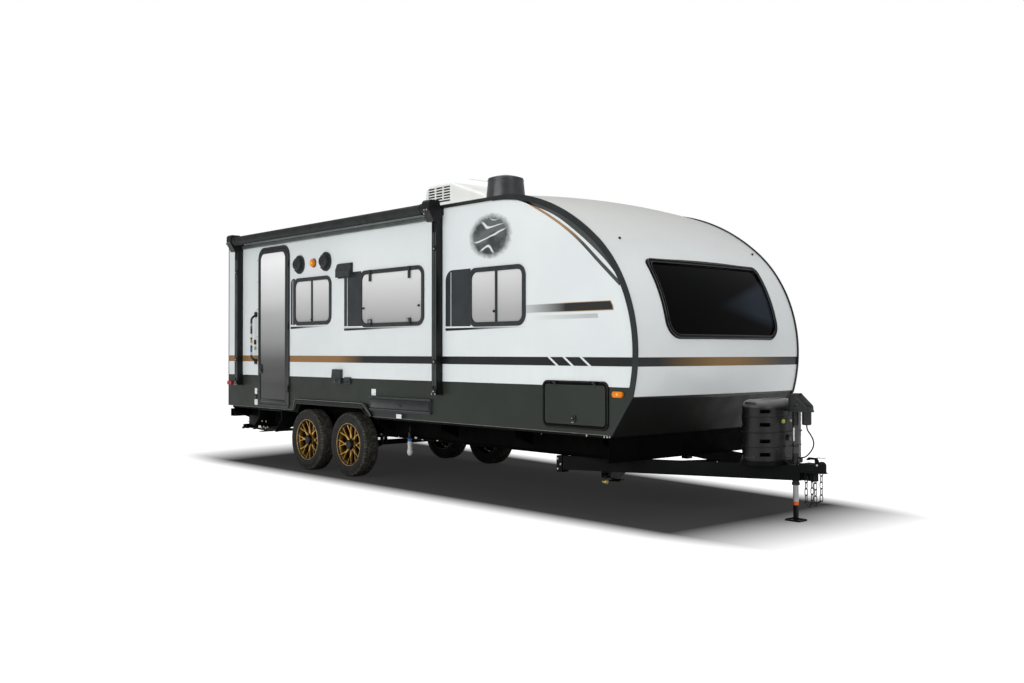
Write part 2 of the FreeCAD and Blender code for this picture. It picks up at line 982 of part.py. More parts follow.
# Stamped coupler: a tapered hollow housing with a domed nose, a ball socket, a lip and a latch
def coupler_housing():
    z0 = ball_z - coupler_height / 2
    z1 = z0 + coupler_height
    root_x = rail_apex_x - cut_over + seat_gap
    w0 = coupler_root_width / 2
    w1 = ball_radius + coupler_wall
    lip = coupler_lip

    def outline(grow, low, high):
        points = [Vector(root_x, -w0 - grow, low), Vector(ball_x, -w1 - grow, low),
                  Vector(ball_x, w1 + grow, low), Vector(root_x, w0 + grow, low)]
        nose = Part.makeCylinder(w1 + grow, high - low, Vector(ball_x, 0, low))
        return prism(points, Vector(0, 0, high - low)).fuse(nose).removeSplitter()

    body = outline(0, z0, z1)
    dome = Part.makeSphere(w1, Vector(ball_x, 0, z1 - w1 / 3))
    dome = dome.common(box(root_x, ball_x + 2 * w1, -half, half, z0 + w1, z1 + w1))
    flange = outline(lip, z0, z0 + coupler_wall)
    body = body.fuse([dome, flange]).removeSplitter()
    pocket = prism([
        Vector(root_x + coupler_wall, -w0 + coupler_wall, z0 - cut_over),
        Vector(ball_x - w1 - coupler_wall, -w1, z0 - cut_over),
        Vector(ball_x - w1 - coupler_wall, w1, z0 - cut_over),
        Vector(root_x + coupler_wall, w0 - coupler_wall, z0 - cut_over),
    ], Vector(0, 0, coupler_height - coupler_wall + cut_over))
    socket = Part.makeCylinder(ball_radius, socket_depth, Vector(ball_x, 0, z0))
    w = coupler_block_width / 2
    block = box(root_x, ball_x - ball_radius - 2 * coupler_wall, -w, w, rail_bottom_z, z0 + coupler_height / 2)
    return body.cut(pocket).fuse(block).cut(socket)


def coupler_latch():
    z1 = ball_z + coupler_height / 2
    t = coupler_latch_thick
    x0 = rail_apex_x + coupler_lip
    x1 = ball_x - ball_radius
    rise = coupler_latch_rise
    return side_prism([
        (x1, z1 - coupler_wall / 2), (x1, z1 + t), (x1 - t, z1 + rise), (x0 + t, z1 + rise),
        (x0, z1 + rise - t), (x0, z1 + rise / 2), (x0 + t, z1 + rise / 2), (x0 + 2 * t, z1 + rise - t),
        (x1 - 2 * t, z1 + rise - t), (x1 - 2 * t, z1 - coupler_wall / 2)], -t / 2, t / 2)


# One chain link round its own middle: long along Z, flat in XZ
def chain_link():
    bow = chain_link_width / 2 - chain_wire / 2
    straight = chain_link_length / 2 - chain_wire / 2 - bow
    step = full_turn / chain_path_points
    corner = bow / math.cos(math.radians(step / 2))
    sections = []
    for i in range(chain_path_points):
        a = math.radians(step * (i + 0.5))
        out = Vector(math.cos(a), 0, math.sin(a))
        middle = out * corner + Vector(0, 0, math.copysign(straight, math.sin(a)))
        ring = []
        for j in range(chain_wire_sides):
            b = math.radians(full_turn * j / chain_wire_sides)
            side = Vector(0, chain_wire / 2 * math.sin(b), 0)
            ring.append(middle + out * (chain_wire / 2 * math.cos(b)) + side)
        sections.append(ring)
    return faceted_ring(sections)


# Links down from the first eye, round and back up: each lies across its neighbour and hangs in its bow
def chain_links():
    bow = chain_link_width / 2 - chain_wire / 2
    straight = chain_link_length / 2 - chain_wire / 2 - bow
    flat_wire = chain_wire * math.cos(math.radians(half_turn / chain_path_points))
    play = bow - flat_wire - seat_gap
    reach = chain_link_length / 2 - chain_wire / 2
    unit = chain_link()
    place = Vector(0, 0, 0)
    last_way = Vector(0, 0, -1)
    links = []
    for i, turn in enumerate((0,) + chain_turns + (half_turn,)):
        a = math.radians(turn)
        way = Vector(-math.sin(a), 0, -math.cos(a))
        across = i % 2 == 1
        if i:
            if across:
                place = place + last_way * straight + way * (play + reach)
            else:
                place = place + last_way * (reach + play) + way * straight
        link = unit.copy()
        if across:
            link.rotate(Vector(0, 0, 0), Vector(0, 0, 1), quarter_turn)
        link.rotate(Vector(0, 0, 0), Vector(0, 1, 0), turn)
        link.translate(place)
        links.append(link)
        last_way = way
    return links


def build_tongue():
    z0 = ball_z - coupler_height / 2
    links = chain_links()
    top = Vector(chain_rear_x - links[-1].BoundBox.Center.x, 0, z0)
    eyes = []
    chains = []
    for side in (-1, 1):
        shift = top + Vector(0, side * chain_y, 0)
        eyes.append(moved(links[0], shift))
        eyes.append(moved(links[-1], shift))
        chains.extend([moved(link, shift) for link in links[1:-1]])
    housing = coupler_housing()
    above = box(-body_width, body_width, -half, half, z0 + coupler_wall / 2, roof_edge_z)
    eyes = [eye.cut(above) for eye in eyes]
    save("coupler", [housing.fuse([coupler_latch()] + eyes)])
    save("safety_chains", chains)


def stadium(length, width, z0, z1):
    r = width / 2
    reach = length / 2 - r
    body = centred_box(0, 0, 2 * reach, width, z0, z1)
    ends = [Part.makeCylinder(r, z1 - z0, Vector(side * reach, 0, z0)) for side in (-1, 1)]
    return body.fuse(ends).removeSplitter()


def top_edges(shape, z):
    near = seat_gap / 2
    return [e for e in shape.Edges if e.BoundBox.ZMin > z - near and e.BoundBox.ZMax < z + near]


# Jack head: a moulded helmet, upright behind and sloped in front, with a flared rim at its foot
def jack_head():
    z0 = jack_head_bottom_z
    z1 = z0 + jack_head_height
    w = jack_head_width / 2
    x0 = -w
    x1 = x0 + jack_head_length
    crown_x = x0 + jack_head_length * jack_head_crown_share
    hood = side_prism([(x0, z0), (x0, z1), (crown_x, z1), (x1, z0 + jack_head_nose), (x1, z0)], -w, w)
    across = edges_along(hood, Vector(0, 1, 0))
    hood = hood.makeFillet(jack_head_width * 0.4, [e for e in across if e.BoundBox.ZMin > z0 + seat_gap])
    over = [e for e in hood.Edges if e.BoundBox.YLength < seat_gap and e.BoundBox.ZMax > z0 + jack_head_nose]
    hood = hood.makeFillet(jack_head_width * 0.3, over)
    flare = jack_head_flare
    rim = box(x0 - flare / 2, x1 + flare / 2, -w - flare / 2, w + flare / 2, z0, z0 + 2 * flare)
    rim = rim.makeFillet(jack_head_width * 0.3, edges_along(rim, Vector(0, 0, 1)))
    return hood.fuse(rim).removeSplitter()


def jack_motor():
    x = jack_head_length - jack_head_width / 2 - jack_motor_radius - jack_head_flare
    z1 = jack_head_bottom_z
    motor = Part.makeCylinder(jack_motor_radius, jack_motor_drop, Vector(x, 0, z1 - jack_motor_drop))
    return motor.makeFillet(jack_motor_radius / 4, top_edges(motor, z1 - jack_motor_drop))


def build_jack():
    z0 = jack_tube_bottom_z
    r = jack_tube_radius
    tube = Part.makeCylinder(r, jack_tube_top_z - z0, Vector(0, 0, z0))
    collar = Part.makeCylinder(jack_collar_radius, jack_collar_height, Vector(0, 0, z0))
    plate_z = rail_top_z + seat_gap
    plate = centred_box(0, 0, 3.2 * r, 4.8 * r, plate_z, plate_z + jack_plate_thick)
    points = lead_points()
    gland = rod(Vector(0, 0, points[-1].z), points[-1], lead_gland_radius)
    bore = Part.makeCylinder(r - jack_tube_wall, jack_tube_top_z - z0 - jack_tube_wall, Vector(0, 0, z0))
    housing = tube.fuse([collar, plate, jack_head(), jack_motor(), gland]).cut(bore).removeSplitter()
    save("jack_housing", [housing])
    inner_top = jack_tube_top_z - jack_stroke - 2 * jack_tube_radius
    inner = Part.makeCylinder(jack_leg_radius, inner_top - drop_leg_top_z, Vector(0, 0, drop_leg_top_z))
    drop = centred_box(0, 0, 2 * drop_leg_half, 2 * drop_leg_half, jack_foot_thick, drop_leg_top_z)
    foot = centred_box(0, 0, jack_foot_length, jack_foot_width, 0, jack_foot_thick + jack_foot_lip)
    hollow = centred_box(0, 0, jack_foot_length - 2 * jack_foot_thick, jack_foot_width - 2 * jack_foot_thick,
                         jack_foot_thick, jack_foot_thick + cut_over)
    foot = foot.makeChamfer(jack_foot_lip, edges_along(foot, Vector(0, 0, 1))).cut(hollow)
    save("jack_leg", [inner.fuse([drop, foot]).removeSplitter()])
    lead, path, radii = bent_tube(points, jack_stroke, lead_radius)
    print("jack lead radii", [round(radius) for radius in radii])
    print("jack lead volume share", round(lead.Volume / (math.pi * lead_radius ** 2 * path.Length), 4))
    save("jack_lead", [lead])


def lead_points():
    return [Vector(x, 0, z) for x, z in lead_route]


# Gas bottle cover: two moulded shells with a seam lip, vent recesses in the corners and a handle
def cover_slug(inset, z0, z1):
    slug = stadium(cover_length - 2 * inset, cover_depth - 2 * inset, z0, z1)
    slug.rotate(Vector(0, 0, 0), Vector(0, 0, 1), quarter_turn)
    slug.translate(Vector(cover_x, 0, 0))
    return slug


# Slots across both corners of both ends, at the heights that lie between two levels
def cover_slots(low_z, high_z):
    r = cover_depth / 2
    reach = cover_length / 2 - r
    w = cover_slot_length / 2
    h = cover_slot_height / 2
    cuts = []
    for share in cover_slot_height_shares:
        z = cover_bottom_z + (cover_top_z - cover_bottom_z) * share
        if low_z < z < high_z:
            for side, first in ((1, quarter_turn / 2), (-1, -quarter_turn / 2)):
                for turn in (first, first + side * quarter_turn):
                    slot = box(r - cover_slot_depth, r + cut_over, -w, w, z - h, z + h)
                    slot.rotate(Vector(0, 0, 0), Vector(0, 0, 1), turn)
                    cuts.append(moved(slot, Vector(cover_x, side * reach, 0)))
    return cuts


def build_cover():
    z0 = cover_bottom_z
    split = cover_split_z
    z1 = cover_top_z
    lip = cover_seam_lip
    rim = cover_slug(-lip, split - 2 * lip, split)
    base = cover_slug(0, z0, split).fuse(rim).removeSplitter().cut(cover_slots(z0, split))
    base = base.cut(cover_slug(cover_wall, z0 - cut_over, split + cut_over))
    lid = cover_slug(0, split + seat_gap, z1)
    lid = lid.makeFillet(cover_shoulder, top_edges(lid, z1))
    handle = centred_box(cover_x, 0, cover_handle_width, cover_handle_length, z1 - cover_handle_rise,
                         z1 + cover_handle_rise)
    handle = handle.makeFillet(cover_handle_rise * 0.9, edges_along(handle, Vector(0, 0, 1)))
    lid = lid.fuse(handle).cut(cover_slots(split, z1))
    hollow = cover_slug(cover_wall, split - cut_over, z1 - cover_wall)
    hollow = hollow.makeFillet(cover_shoulder - cover_wall, top_edges(hollow, z1 - cover_wall))
    save("gas_cover", [base, lid.cut(hollow)])
    tray = cover_slug(-tray_margin, beam_bottom_z, z0 - seat_gap)
    save("gas_tray", [tray])


# Tyre section as radius and distance from its middle, with an upright bead beside the rim flange
def tyre_outline(radius, width, bead_radius, bead):
    height = radius - bead_radius
    w = width / 2
    side = [(bead_radius, bead), (bead_radius + 0.12 * height, bead), (bead_radius + 0.36 * height, 0.98 * w),
            (bead_radius + 0.62 * height, w), (radius - 0.08 * height, 0.85 * w), (radius, 0.66 * w)]
    return side + [(r, -y) for r, y in reversed(side)]


def rim_outline():
    r = rim_radius - seat_gap
    w = rim_width / 2
    flange = r + rim_flange
    end = w + rim_flange_thick
    inside = r - rim_wall
    return [(r, -w), (r, w), (flange, w), (flange, end), (r - rim_wall / 2, end), (inside, 0.6 * w),
            (inside, -end), (flange, -end), (flange, -w)]


# One gap between two spokes: wide at the barrel and narrow at the hub
def spoke_gap(y0, y1):
    outer = rim_radius - 2.6 * rim_wall
    inner = hub_radius * 1.08
    step = full_turn / spoke_count
    corners = []
    for radius, turn in ((inner, -0.2), (inner, 0.2), (0.62 * outer, 0.27), (outer, 0.24), (outer, -0.24),
                         (0.62 * outer, -0.27)):
        a = math.radians(turn * step)
        corners.append(Vector(radius * math.sin(a), y0, radius * math.cos(a)))
    return prism(corners, Vector(0, y1 - y0, 0))


# The slot that splits a spoke into its fork
def fork_slot(y0, y1):
    outer = rim_radius - 3.4 * rim_wall
    step = full_turn / spoke_count
    corners = []
    for radius, turn in ((0.52 * outer, 0), (outer, 0.1), (outer, -0.1)):
        a = math.radians(turn * step)
        corners.append(Vector(radius * math.sin(a), y0, radius * math.cos(a)))
    return prism(corners, Vector(0, y1 - y0, 0))


def rim():
    barrel = turned_facets(rim_outline(), wheel_sides)
    face_y = rim_width / 2 - spoke_set
    back_y = face_y - spoke_thick
    disc = facet_disc(rim_radius - rim_wall - seat_gap + run_gap / 2, wheel_sides, back_y, face_y)
    gap = spoke_gap(back_y - cut_over, face_y + cut_over)
    slot = fork_slot(face_y - spoke_thick / 2, face_y + cut_over)
    cuts = []
    for i in range(spoke_count):
        for cutter, shift in ((gap, 0.5), (slot, 0)):
            hole = cutter.copy()
            hole.rotate(Vector(0, 0, 0), Vector(0, 1, 0), full_turn / spoke_count * (i + shift))
            cuts.append(hole)
    disc = disc.cut(cuts)
    drum_y = drum_tip - rim_width / 2
    hub = facet_disc(hub_radius, spoke_count * 3, face_y - hub_length, face_y + spoke_thick / 4)
    cap = facet_disc(centre_cap_radius, spoke_count * 3, face_y, face_y + centre_cap_length)
    neck = facet_disc(hub_radius * 0.8, spoke_count * 3, drum_y, face_y)
    drum = facet_disc(drum_radius, spoke_count * 3, drum_y - drum_width, drum_y)
    wheel = barrel.fuse([disc, hub, cap, neck, drum]).removeSplitter()
    bore = Part.makeCylinder(spindle_radius + seat_gap, face_y - drum_y + drum_width + cut_over,
                             Vector(0, drum_y - drum_width - cut_over, 0), Vector(0, 1, 0))
    return wheel.cut(bore)


def build_wheels():
    bead = rim_width / 2 - 2 * seat_gap
    tyre = turned_facets(tyre_outline(wheel_radius, tyre_width, rim_radius, bead), wheel_sides)
    wheel = rim()
    for end, x in (("rear", rear_axle_x), ("front", front_axle_x)):
        for name, side in (("curb", -1), ("road", 1)):
            place = Vector(x, side * wheel_y, wheel_radius)
            save("tyre_" + end + "_" + name, [moved(on_side(tyre, side), place)])
            save("rim_" + end + "_" + name, [moved(on_side(wheel, side), place)])


def build_axles():
    face_y = wheel_y + rim_width / 2 - spoke_set
    drum_in = wheel_y + drum_tip - rim_width / 2 - drum_width
    beams = []
    for x in axle_places:
        tube_y = drum_in - run_gap
        tube = rod(Vector(x, -tube_y, wheel_radius), Vector(x, tube_y, wheel_radius), axle_radius)
        spindle = rod(Vector(x, -face_y, wheel_radius), Vector(x, face_y, wheel_radius), spindle_radius)
        beams.append(tube.fuse(spindle).removeSplitter())
    save("axles", beams)
    pieces = []
    for side in (-1, 1):
        for x in axle_places:
            pieces.append(on_side(moved(leaf_spring(), Vector(x, beam_y, 0)), side))
        for piece in spring_mounts():
            pieces.append(on_side(moved(piece, Vector(0, beam_y, 0)), side))
    save("springs", pieces)


def spring_eye_z():
    return wheel_radius - axle_radius - seat_gap + spring_camber


# Leaf pack under the axle: concentric arcs, each shorter than the one above, with an eye at both ends
def leaf_spring():
    top_z = wheel_radius - axle_radius - seat_gap
    radius = (spring_half ** 2 + spring_camber ** 2) / (2 * spring_camber)
    centre_z = top_z + radius
    w = spring_width / 2
    pack = None
    for i, share in enumerate(spring_leaf_shares):
        r0 = radius + i * spring_leaf
        r1 = r0 + spring_leaf
        a = math.asin(spring_half * share / radius)
        ends = []
        for r in (r0, r1):
            ends.append([Vector(r * math.sin(t), -w, centre_z - r * math.cos(t)) for t in (-a, 0, a)])
        upper, lower = ends
        outline = Part.Wire([
            Part.Arc(upper[0], upper[1], upper[2]).toShape(),
            Part.LineSegment(upper[2], lower[2]).toShape(),
            Part.Arc(lower[2], lower[1], lower[0]).toShape(),
            Part.LineSegment(lower[0], upper[0]).toShape(),
        ])
        leaf = Part.Face(outline).extrude(Vector(0, spring_width, 0))
        pack = leaf if pack is None else pack.fuse(leaf)
    holes = []
    for x in (-spring_half, spring_half):
        eye = rod(Vector(x, -w, spring_eye_z()), Vector(x, w, spring_eye_z()), eye_radius)
        holes.append(rod(Vector(x, -spring_width, spring_eye_z()), Vector(x, spring_width, spring_eye_z()),
                         eye_bolt_radius + seat_gap))
        pack = pack.fuse(eye)
    return pack.removeSplitter().cut(holes)


# Hangers at both ends of a pair of springs and the rocker between them
def spring_mounts():
    z = spring_eye_z()
    inner = spring_width / 2 + seat_gap * 2
    outer = inner + hanger_thick
    w = hanger_width / 2
    top = beam_bottom_z - seat_gap
    mounts = []
    for x in (axle_places[0] - spring_half, axle_places[1] + spring_half):
        plates = side_prism([(x - w, top), (x - w, z), (x - w / 2, z - eye_radius),
                             (x + w / 2, z - eye_radius), (x + w, z), (x + w, top)], -outer, outer)
        slot = box(x - hanger_width, x + hanger_width, -inner, inner, z - 2 * eye_radius,
                   top - 2 * hanger_thick)
        bolt = rod(Vector(x, -outer - hanger_thick, z), Vector(x, outer + hanger_thick, z), eye_bolt_radius)
        mounts.append(plates.cut(slot).fuse(bolt))
    x0 = axle_places[0] + spring_half
    x1 = axle_places[1] - spring_half
    middle = (x0 + x1) / 2
    pivot_z = z + equaliser_drop
    post_z = pivot_z - eye_radius
    post = side_prism([(middle - w, top), (middle - w / 2, post_z), (middle + w / 2, post_z),
                       (middle + w, top)], -spring_width / 4, spring_width / 4)
    bolt_y = outer + hanger_thick
    post_bolt = rod(Vector(middle, -bolt_y, pivot_z), Vector(middle, bolt_y, pivot_z), eye_bolt_radius)
    mounts.append(post.fuse(post_bolt))
    rocker_z = pivot_z + eye_radius
    rocker = side_prism([(x0 - eye_radius, z), (x0, z - eye_radius), (x1, z - eye_radius),
                         (x1 + eye_radius, z), (middle + w, rocker_z), (middle - w, rocker_z)],
                        -outer, outer)
    rocker = rocker.cut(box(x0 - w, x1 + w, -inner, inner, z - w, top))
    bolts = [rod(Vector(x, -outer, z), Vector(x, outer, z), eye_bolt_radius) for x in (x0, x1)]
    hole = rod(Vector(middle, -half, pivot_z), Vector(middle, half, pivot_z), eye_bolt_radius + seat_gap)
    mounts.append(rocker.fuse(bolts).cut(hole))
    return mounts


# A frame with a thin inner sleeve through the wall and its panes, for one side window
def window_parts(window, split):
    x0, x1, z0, z1 = window_edges(window)
    y1 = half + window_trim_proud
    ring = ring_panel(x0, x1, z0, z1, window_radius, window_trim, wall_y, y1)
    t = window_sleeve + seat_gap
    sleeve = ring_panel(x0 + t, x1 - t, z0 + t, z1 - t, window_radius - seat_gap, window_trim - t,
                        half - 2 * pane_thick, wall_y)
    frame = ring.fuse(sleeve)
    middle = (x0 + x1) / 2
    m = window_trim + seat_gap
    corner = window_radius - seat_gap - window_trim + t
    y_pane = half - pane_thick
    pane = rounded_panel(x0 + m, x1 - m, z0 + m, z1 - m, corner, y_pane, half - seat_gap)
    if split:
        bar = centred_box(middle, (y_pane - seat_gap + y1) / 2, window_bar, y1 - y_pane + seat_gap,
                          z0 + window_trim - seat_gap, z1 - window_trim + seat_gap)
        frame = frame.fuse(bar)
        pane = pane.cut(centred_box(middle, half, window_bar + 2 * seat_gap, wall_thick, z0, z1))
    else:
        frame = frame.fuse(window_hardware(x0, x1, z0, z1, y1))
    return frame.removeSplitter(), pane


# Hinge covers over the top rail and latches on the bottom rail of the top-hung window
def window_hardware(x0, x1, z0, z1, y1):
    pieces = []
    for share in window_hinge_shares:
        x = x0 + (x1 - x0) * share
        cover = box(x - window_hinge_width / 2, x + window_hinge_width / 2, y1 - seat_gap,
                    y1 + window_hinge_proud, z1 - window_hinge_height, z1)
        pieces.append(cover.makeChamfer(window_hinge_proud / 2, edges_along(cover, Vector(0, 0, 1))[:2]))
        pieces.append(box(x - window_latch_width / 2, x + window_latch_width / 2, y1 - seat_gap,
                          y1 + window_hinge_proud, z0 + window_sleeve - seat_gap, z0 + window_latch_height))
    return pieces


def build_windows():
    frames = []
    panes = []
    for window, side, split in side_windows:
        frame, pane = window_parts(window, split)
        frames.append(on_side(frame, side))
        panes.append(on_side(pane, side))
    save("window_frames", frames)
    save("window_panes", panes)


# Hinge on an axis: outer knuckles and pin for the fixed side, the middle knuckle for the leaf
def hinge(place, axis, leaf_plate, frame_plate):
    base = place - axis * (1.5 * knuckle_length)
    ends = []
    for shift in (0, 2 * knuckle_length + seat_gap):
        ends.append(Part.makeCylinder(knuckle_radius, knuckle_length - seat_gap, base + axis * shift, axis))
    pin = Part.makeCylinder(pin_radius, 3 * knuckle_length, base, axis)
    fixed = pin.fuse(ends).fuse(frame_plate)
    start = base + axis * (knuckle_length + seat_gap / 2)
    middle = Part.makeCylinder(knuckle_radius, knuckle_length - seat_gap, start, axis)
    bore = Part.makeCylinder(pin_radius + seat_gap, knuckle_length, start, axis)
    return fixed, middle.fuse(leaf_plate).cut(bore)


# The door's outline, so far inside its frame's edge
def door_panel(inset, y0, y1):
    return tall_panel(door_rear_x + inset, door_front_x - inset, door_bottom_z + inset, door_top_z - inset,
                      door_radius - inset, door_foot_radius - inset, y0, y1)


def door_hinge_line():
    return door_front_x - door_trim / 2, -half - door_trim_proud - knuckle_radius - seat_gap


def door_leaf():
    g = door_gap
    leaf = door_panel(g, inner_half, half + door_trim_proud)
    hole = door_glass(0, inner_half - cut_over, half + door_trim_proud + cut_over)
    kick_top = door_bottom_z + g + door_rail_bottom + door_kick_height
    kick = tall_panel(door_rear_x + g, door_front_x - g, door_bottom_z + g, kick_top, door_foot_radius - g,
                      door_foot_radius - g, inner_half, half - 2 * pane_thick)
    return mirrored(leaf.cut(hole).fuse(kick).removeSplitter())


# The door's glass or the hole for it, on the road side
def door_glass(gap, y0, y1):
    g = door_gap + gap
    return tall_panel(door_rear_x + g + door_stile_rear, door_front_x - g - door_stile_front,
                      door_bottom_z + g + door_rail_bottom, door_top_z - g - door_rail_top,
                      door_radius * 0.6 - gap, door_foot_radius / 3 - gap, y0, y1)


def build_door():
    y1 = half + door_trim_proud
    ring = mirrored(door_panel(0, wall_y, y1).cut(door_panel(door_trim, wall_y - cut_over, y1 + cut_over)))
    leaf = door_leaf()
    pane = mirrored(door_glass(seat_gap, half - pane_thick, half + door_trim_proud / 2))
    y_out = -half - door_trim_proud
    hx, hy = door_hinge_line()
    reach = knuckle_length / 2
    for share in door_hinge_shares:
        z = door_bottom_z + (door_top_z - door_bottom_z) * share
        leaf_plate = box(door_front_x - door_gap - 2 * knuckle_radius, hx,
                         hy + knuckle_radius - hinge_leaf, y_out, z - reach + seat_gap, z + reach - seat_gap)
        plate = box(hx - hinge_leaf, door_front_x, hy, y_out, z - 3 * reach, z + 3 * reach)
        plate = plate.cut(box(hx - door_width, door_front_x + door_gap, hy - door_gap, y_out + door_gap,
                              z - reach - seat_gap, z + reach + seat_gap))
        fixed, moving = hinge(Vector(hx, hy, z), Vector(0, 0, 1), leaf_plate, plate)
        ring = ring.fuse(fixed)
        leaf = leaf.fuse(moving)
    save("door_frame", [ring])
    save("door_leaf", [leaf.cut(ring)])
    save("door_pane", [pane])
    print("door hinge line", [round(v, 2) for v in (hx, hy)])


def hatch_hinge_line():
    return half + hatch_trim_proud + knuckle_radius + seat_gap, hatch_top_z - hatch_trim / 2


# Flush twist latch low in the middle of a hatch
def hatch_latch():
    x = (hatch_rear_x + hatch_front_x) / 2
    y = half + hatch_trim_proud
    z0 = hatch_bottom_z + hatch_latch_rise - hatch_latch_height / 2
    plate = rounded_panel(x - hatch_latch_width / 2, x + hatch_latch_width / 2, z0, z0 + hatch_latch_height,
                          hatch_latch_width / 4, y - hatch_latch_proud, y + hatch_latch_proud)
    grip = box(x - hatch_latch_width / 6, x + hatch_latch_width / 6, y + hatch_latch_proud / 2,
               y + 2 * hatch_latch_proud, z0 + hatch_latch_height / 4, z0 + hatch_latch_height * 0.75)
    return plate.fuse(grip)


def build_hatches():
    g = hatch_trim + run_gap
    y_out = half + hatch_trim_proud
    hy, hz = hatch_hinge_line()
    reach = knuckle_length / 2
    ring = ring_panel(hatch_rear_x, hatch_front_x, hatch_bottom_z, hatch_top_z, hatch_radius, hatch_trim,
                      wall_y, y_out)
    leaf = rounded_panel(hatch_rear_x + g, hatch_front_x - g, hatch_bottom_z + g, hatch_top_z - g,
                         hatch_radius - hatch_trim, inner_half, y_out).fuse(hatch_latch())
    for share in hatch_hinge_shares:
        x = hatch_rear_x + hatch_width * share
        leaf_plate = box(x - reach + seat_gap, x + reach - seat_gap, y_out, hy - knuckle_radius + hinge_leaf,
                         hatch_top_z - g - 2 * knuckle_radius, hz)
        plate = box(x - 3 * reach, x + 3 * reach, y_out, hy, hz - hinge_leaf, hatch_top_z)
        plate = plate.cut(box(x - reach - seat_gap, x + reach + seat_gap, y_out - g, hy + g, hz - g, hz + g))
        fixed, moving = hinge(Vector(x, hy, hz), Vector(1, 0, 0), leaf_plate, plate)
        ring = ring.fuse(fixed)
        leaf = leaf.fuse(moving)
    leaf = leaf.cut(ring)
    save("road_hatch", [leaf])
    save("curb_hatch", [mirrored(leaf)])
    save("hatch_frames", [ring, mirrored(ring)])
    print("hatch hinge line", round(hy, 2), round(hz, 2))


# Flat moulding band along an arc of the wall's front edge
def arc_band(cx, cz, radius, low, high):
    w = moulding_width
    o = moulding_thick
    face = Part.Face(Part.makePolygon([
        Vector(radius - w, wall_y, 0), Vector(radius + o, wall_y, 0), Vector(radius + o, wall_y + o, 0),
        Vector(radius - w, wall_y + o, 0), Vector(radius - w, wall_y, 0)]))
    band = face.revolve(Vector(0, 0, 0), Vector(0, -1, 0), high - low)
    band.rotate(Vector(0, 0, 0), Vector(0, -1, 0), low)
    band.translate(Vector(cx, 0, cz))
    return band


# Moulding from the roof down the brow, nose and skirt, and the drip rail along the roof's edge
def build_mouldings():
    w = moulding_width
    o = moulding_thick
    brow = arc_band(brow_cx, brow_cz, brow_radius, nose_turn, quarter_turn)
    nose = arc_band(nose_cx, nose_cz, nose_radius, cap_end_turn, nose_turn)
    end_out = nose_point(cap_end_turn, -o)
    end_in = nose_point(cap_end_turn, w)
    slope = side_prism([(end_in.x, end_in.z), (end_out.x, end_out.z), (skirt_foot_x + o, wall_bottom_z),
                        (skirt_foot_x - w, wall_bottom_z)], wall_y, wall_y + o)
    strip_front = nose_x - drip_end_nose_set
    t = drip_height / 3
    strip = long_prism([(wall_y, roof_edge_z - drip_height), (wall_y + t, roof_edge_z - drip_height),
                        (wall_y + t, roof_edge_z - 2 * t), (wall_y + drip_proud, roof_edge_z - 2 * t),
                        (wall_y + drip_proud, roof_edge_z - t), (wall_y + t, roof_edge_z - t),
                        (wall_y + t, roof_edge_z), (wall_y, roof_edge_z)], rear_x, strip_front)
    band = brow.fuse([nose, slope]).removeSplitter()
    band = band.cut(box(rear_x, strip_front + seat_gap, 0, body_width, roof_edge_z - drip_height - seat_gap,
                        roof_edge_z + body_width))
    save("edge_mouldings", [band, strip, mirrored(band), mirrored(strip)])


def arm_places():
    return rear_x + rear_arm_set, rear_x + front_arm_set


# Awning arm: a standing channel on the wall, a foot plate, and a head round the roller's end
def awning_arm(x, way):
    w = arm_width / 2
    y0 = wall_y
    y1 = wall_y + arm_depth
    top = roof_edge_z - drip_height - seat_gap
    outer = box(x - w, x + w, y0, y1, arm_bottom_z, top)
    channel = box(x - arm_channel / 2, x + arm_channel / 2, y1 - arm_wall, y1 + cut_over,
                  arm_bottom_z + arm_foot_height, top - arm_foot_height)
    foot = box(x - w - arm_wall, x + w + arm_wall, y0, y0 + arm_wall, arm_bottom_z - arm_wall,
               arm_bottom_z + arm_foot_height)
    high = roller_z + roller_radius + arm_head_rise
    low = high - head_length / 2 - head_height
    axis_y = half + roller_out
    out = axis_y + roller_radius + arm_wall
    head = long_prism([(y0, roller_z - roller_radius), (y1, low), (y1 + (out - y1) * head_taper_share, low),
                       (out, roller_z - roller_radius / 2), (out, high - arm_head_rise),
                       (out - arm_head_rise, high), (y1 - arm_head_rise, high),
                       (y1 - arm_depth / 2, top), (y0, top)], x - head_length / 2, x + head_length / 2)
    inner_x = x + way * head_length / 2
    cup_start = Vector(inner_x - way * arm_wall, axis_y, roller_z)
    cup_end = Vector(inner_x + way * arm_wall, axis_y, roller_z)
    cup = rod(cup_start, cup_end, roller_radius / 2)
    return outer.cut(channel).fuse([foot, head, cup]).removeSplitter()


# Rolled fabric tube between the heads with end caps and the bead of the valance below it
def awning_roller():
    rear_arm, front_arm = arm_places()
    x0 = rear_arm + head_length / 2 + arm_wall + seat_gap
    x1 = front_arm - head_length / 2 - arm_wall - seat_gap
    y = half + roller_out
    tube = rod(Vector(x0, y, roller_z), Vector(x1, y, roller_z), roller_radius - arm_wall / 2)
    caps = []
    for start, end in ((x0, x0 + roller_cap), (x1 - roller_cap, x1)):
        caps.append(rod(Vector(start, y, roller_z), Vector(end, y, roller_z), roller_radius))
    bead_y = y + roller_radius / 2
    bead_z = roller_z - roller_radius + roller_bead / 2
    bead = rod(Vector(x0 + roller_cap, bead_y, bead_z), Vector(x1 - roller_cap, bead_y, bead_z), roller_bead)
    return tube.fuse(caps + [bead]).removeSplitter()


def build_awning():
    rear_arm, front_arm = arm_places()
    save("awning_arms", [mirrored(awning_arm(rear_arm, 1)), mirrored(awning_arm(front_arm, -1))])
    save("awning_roller", [mirrored(awning_roller())])


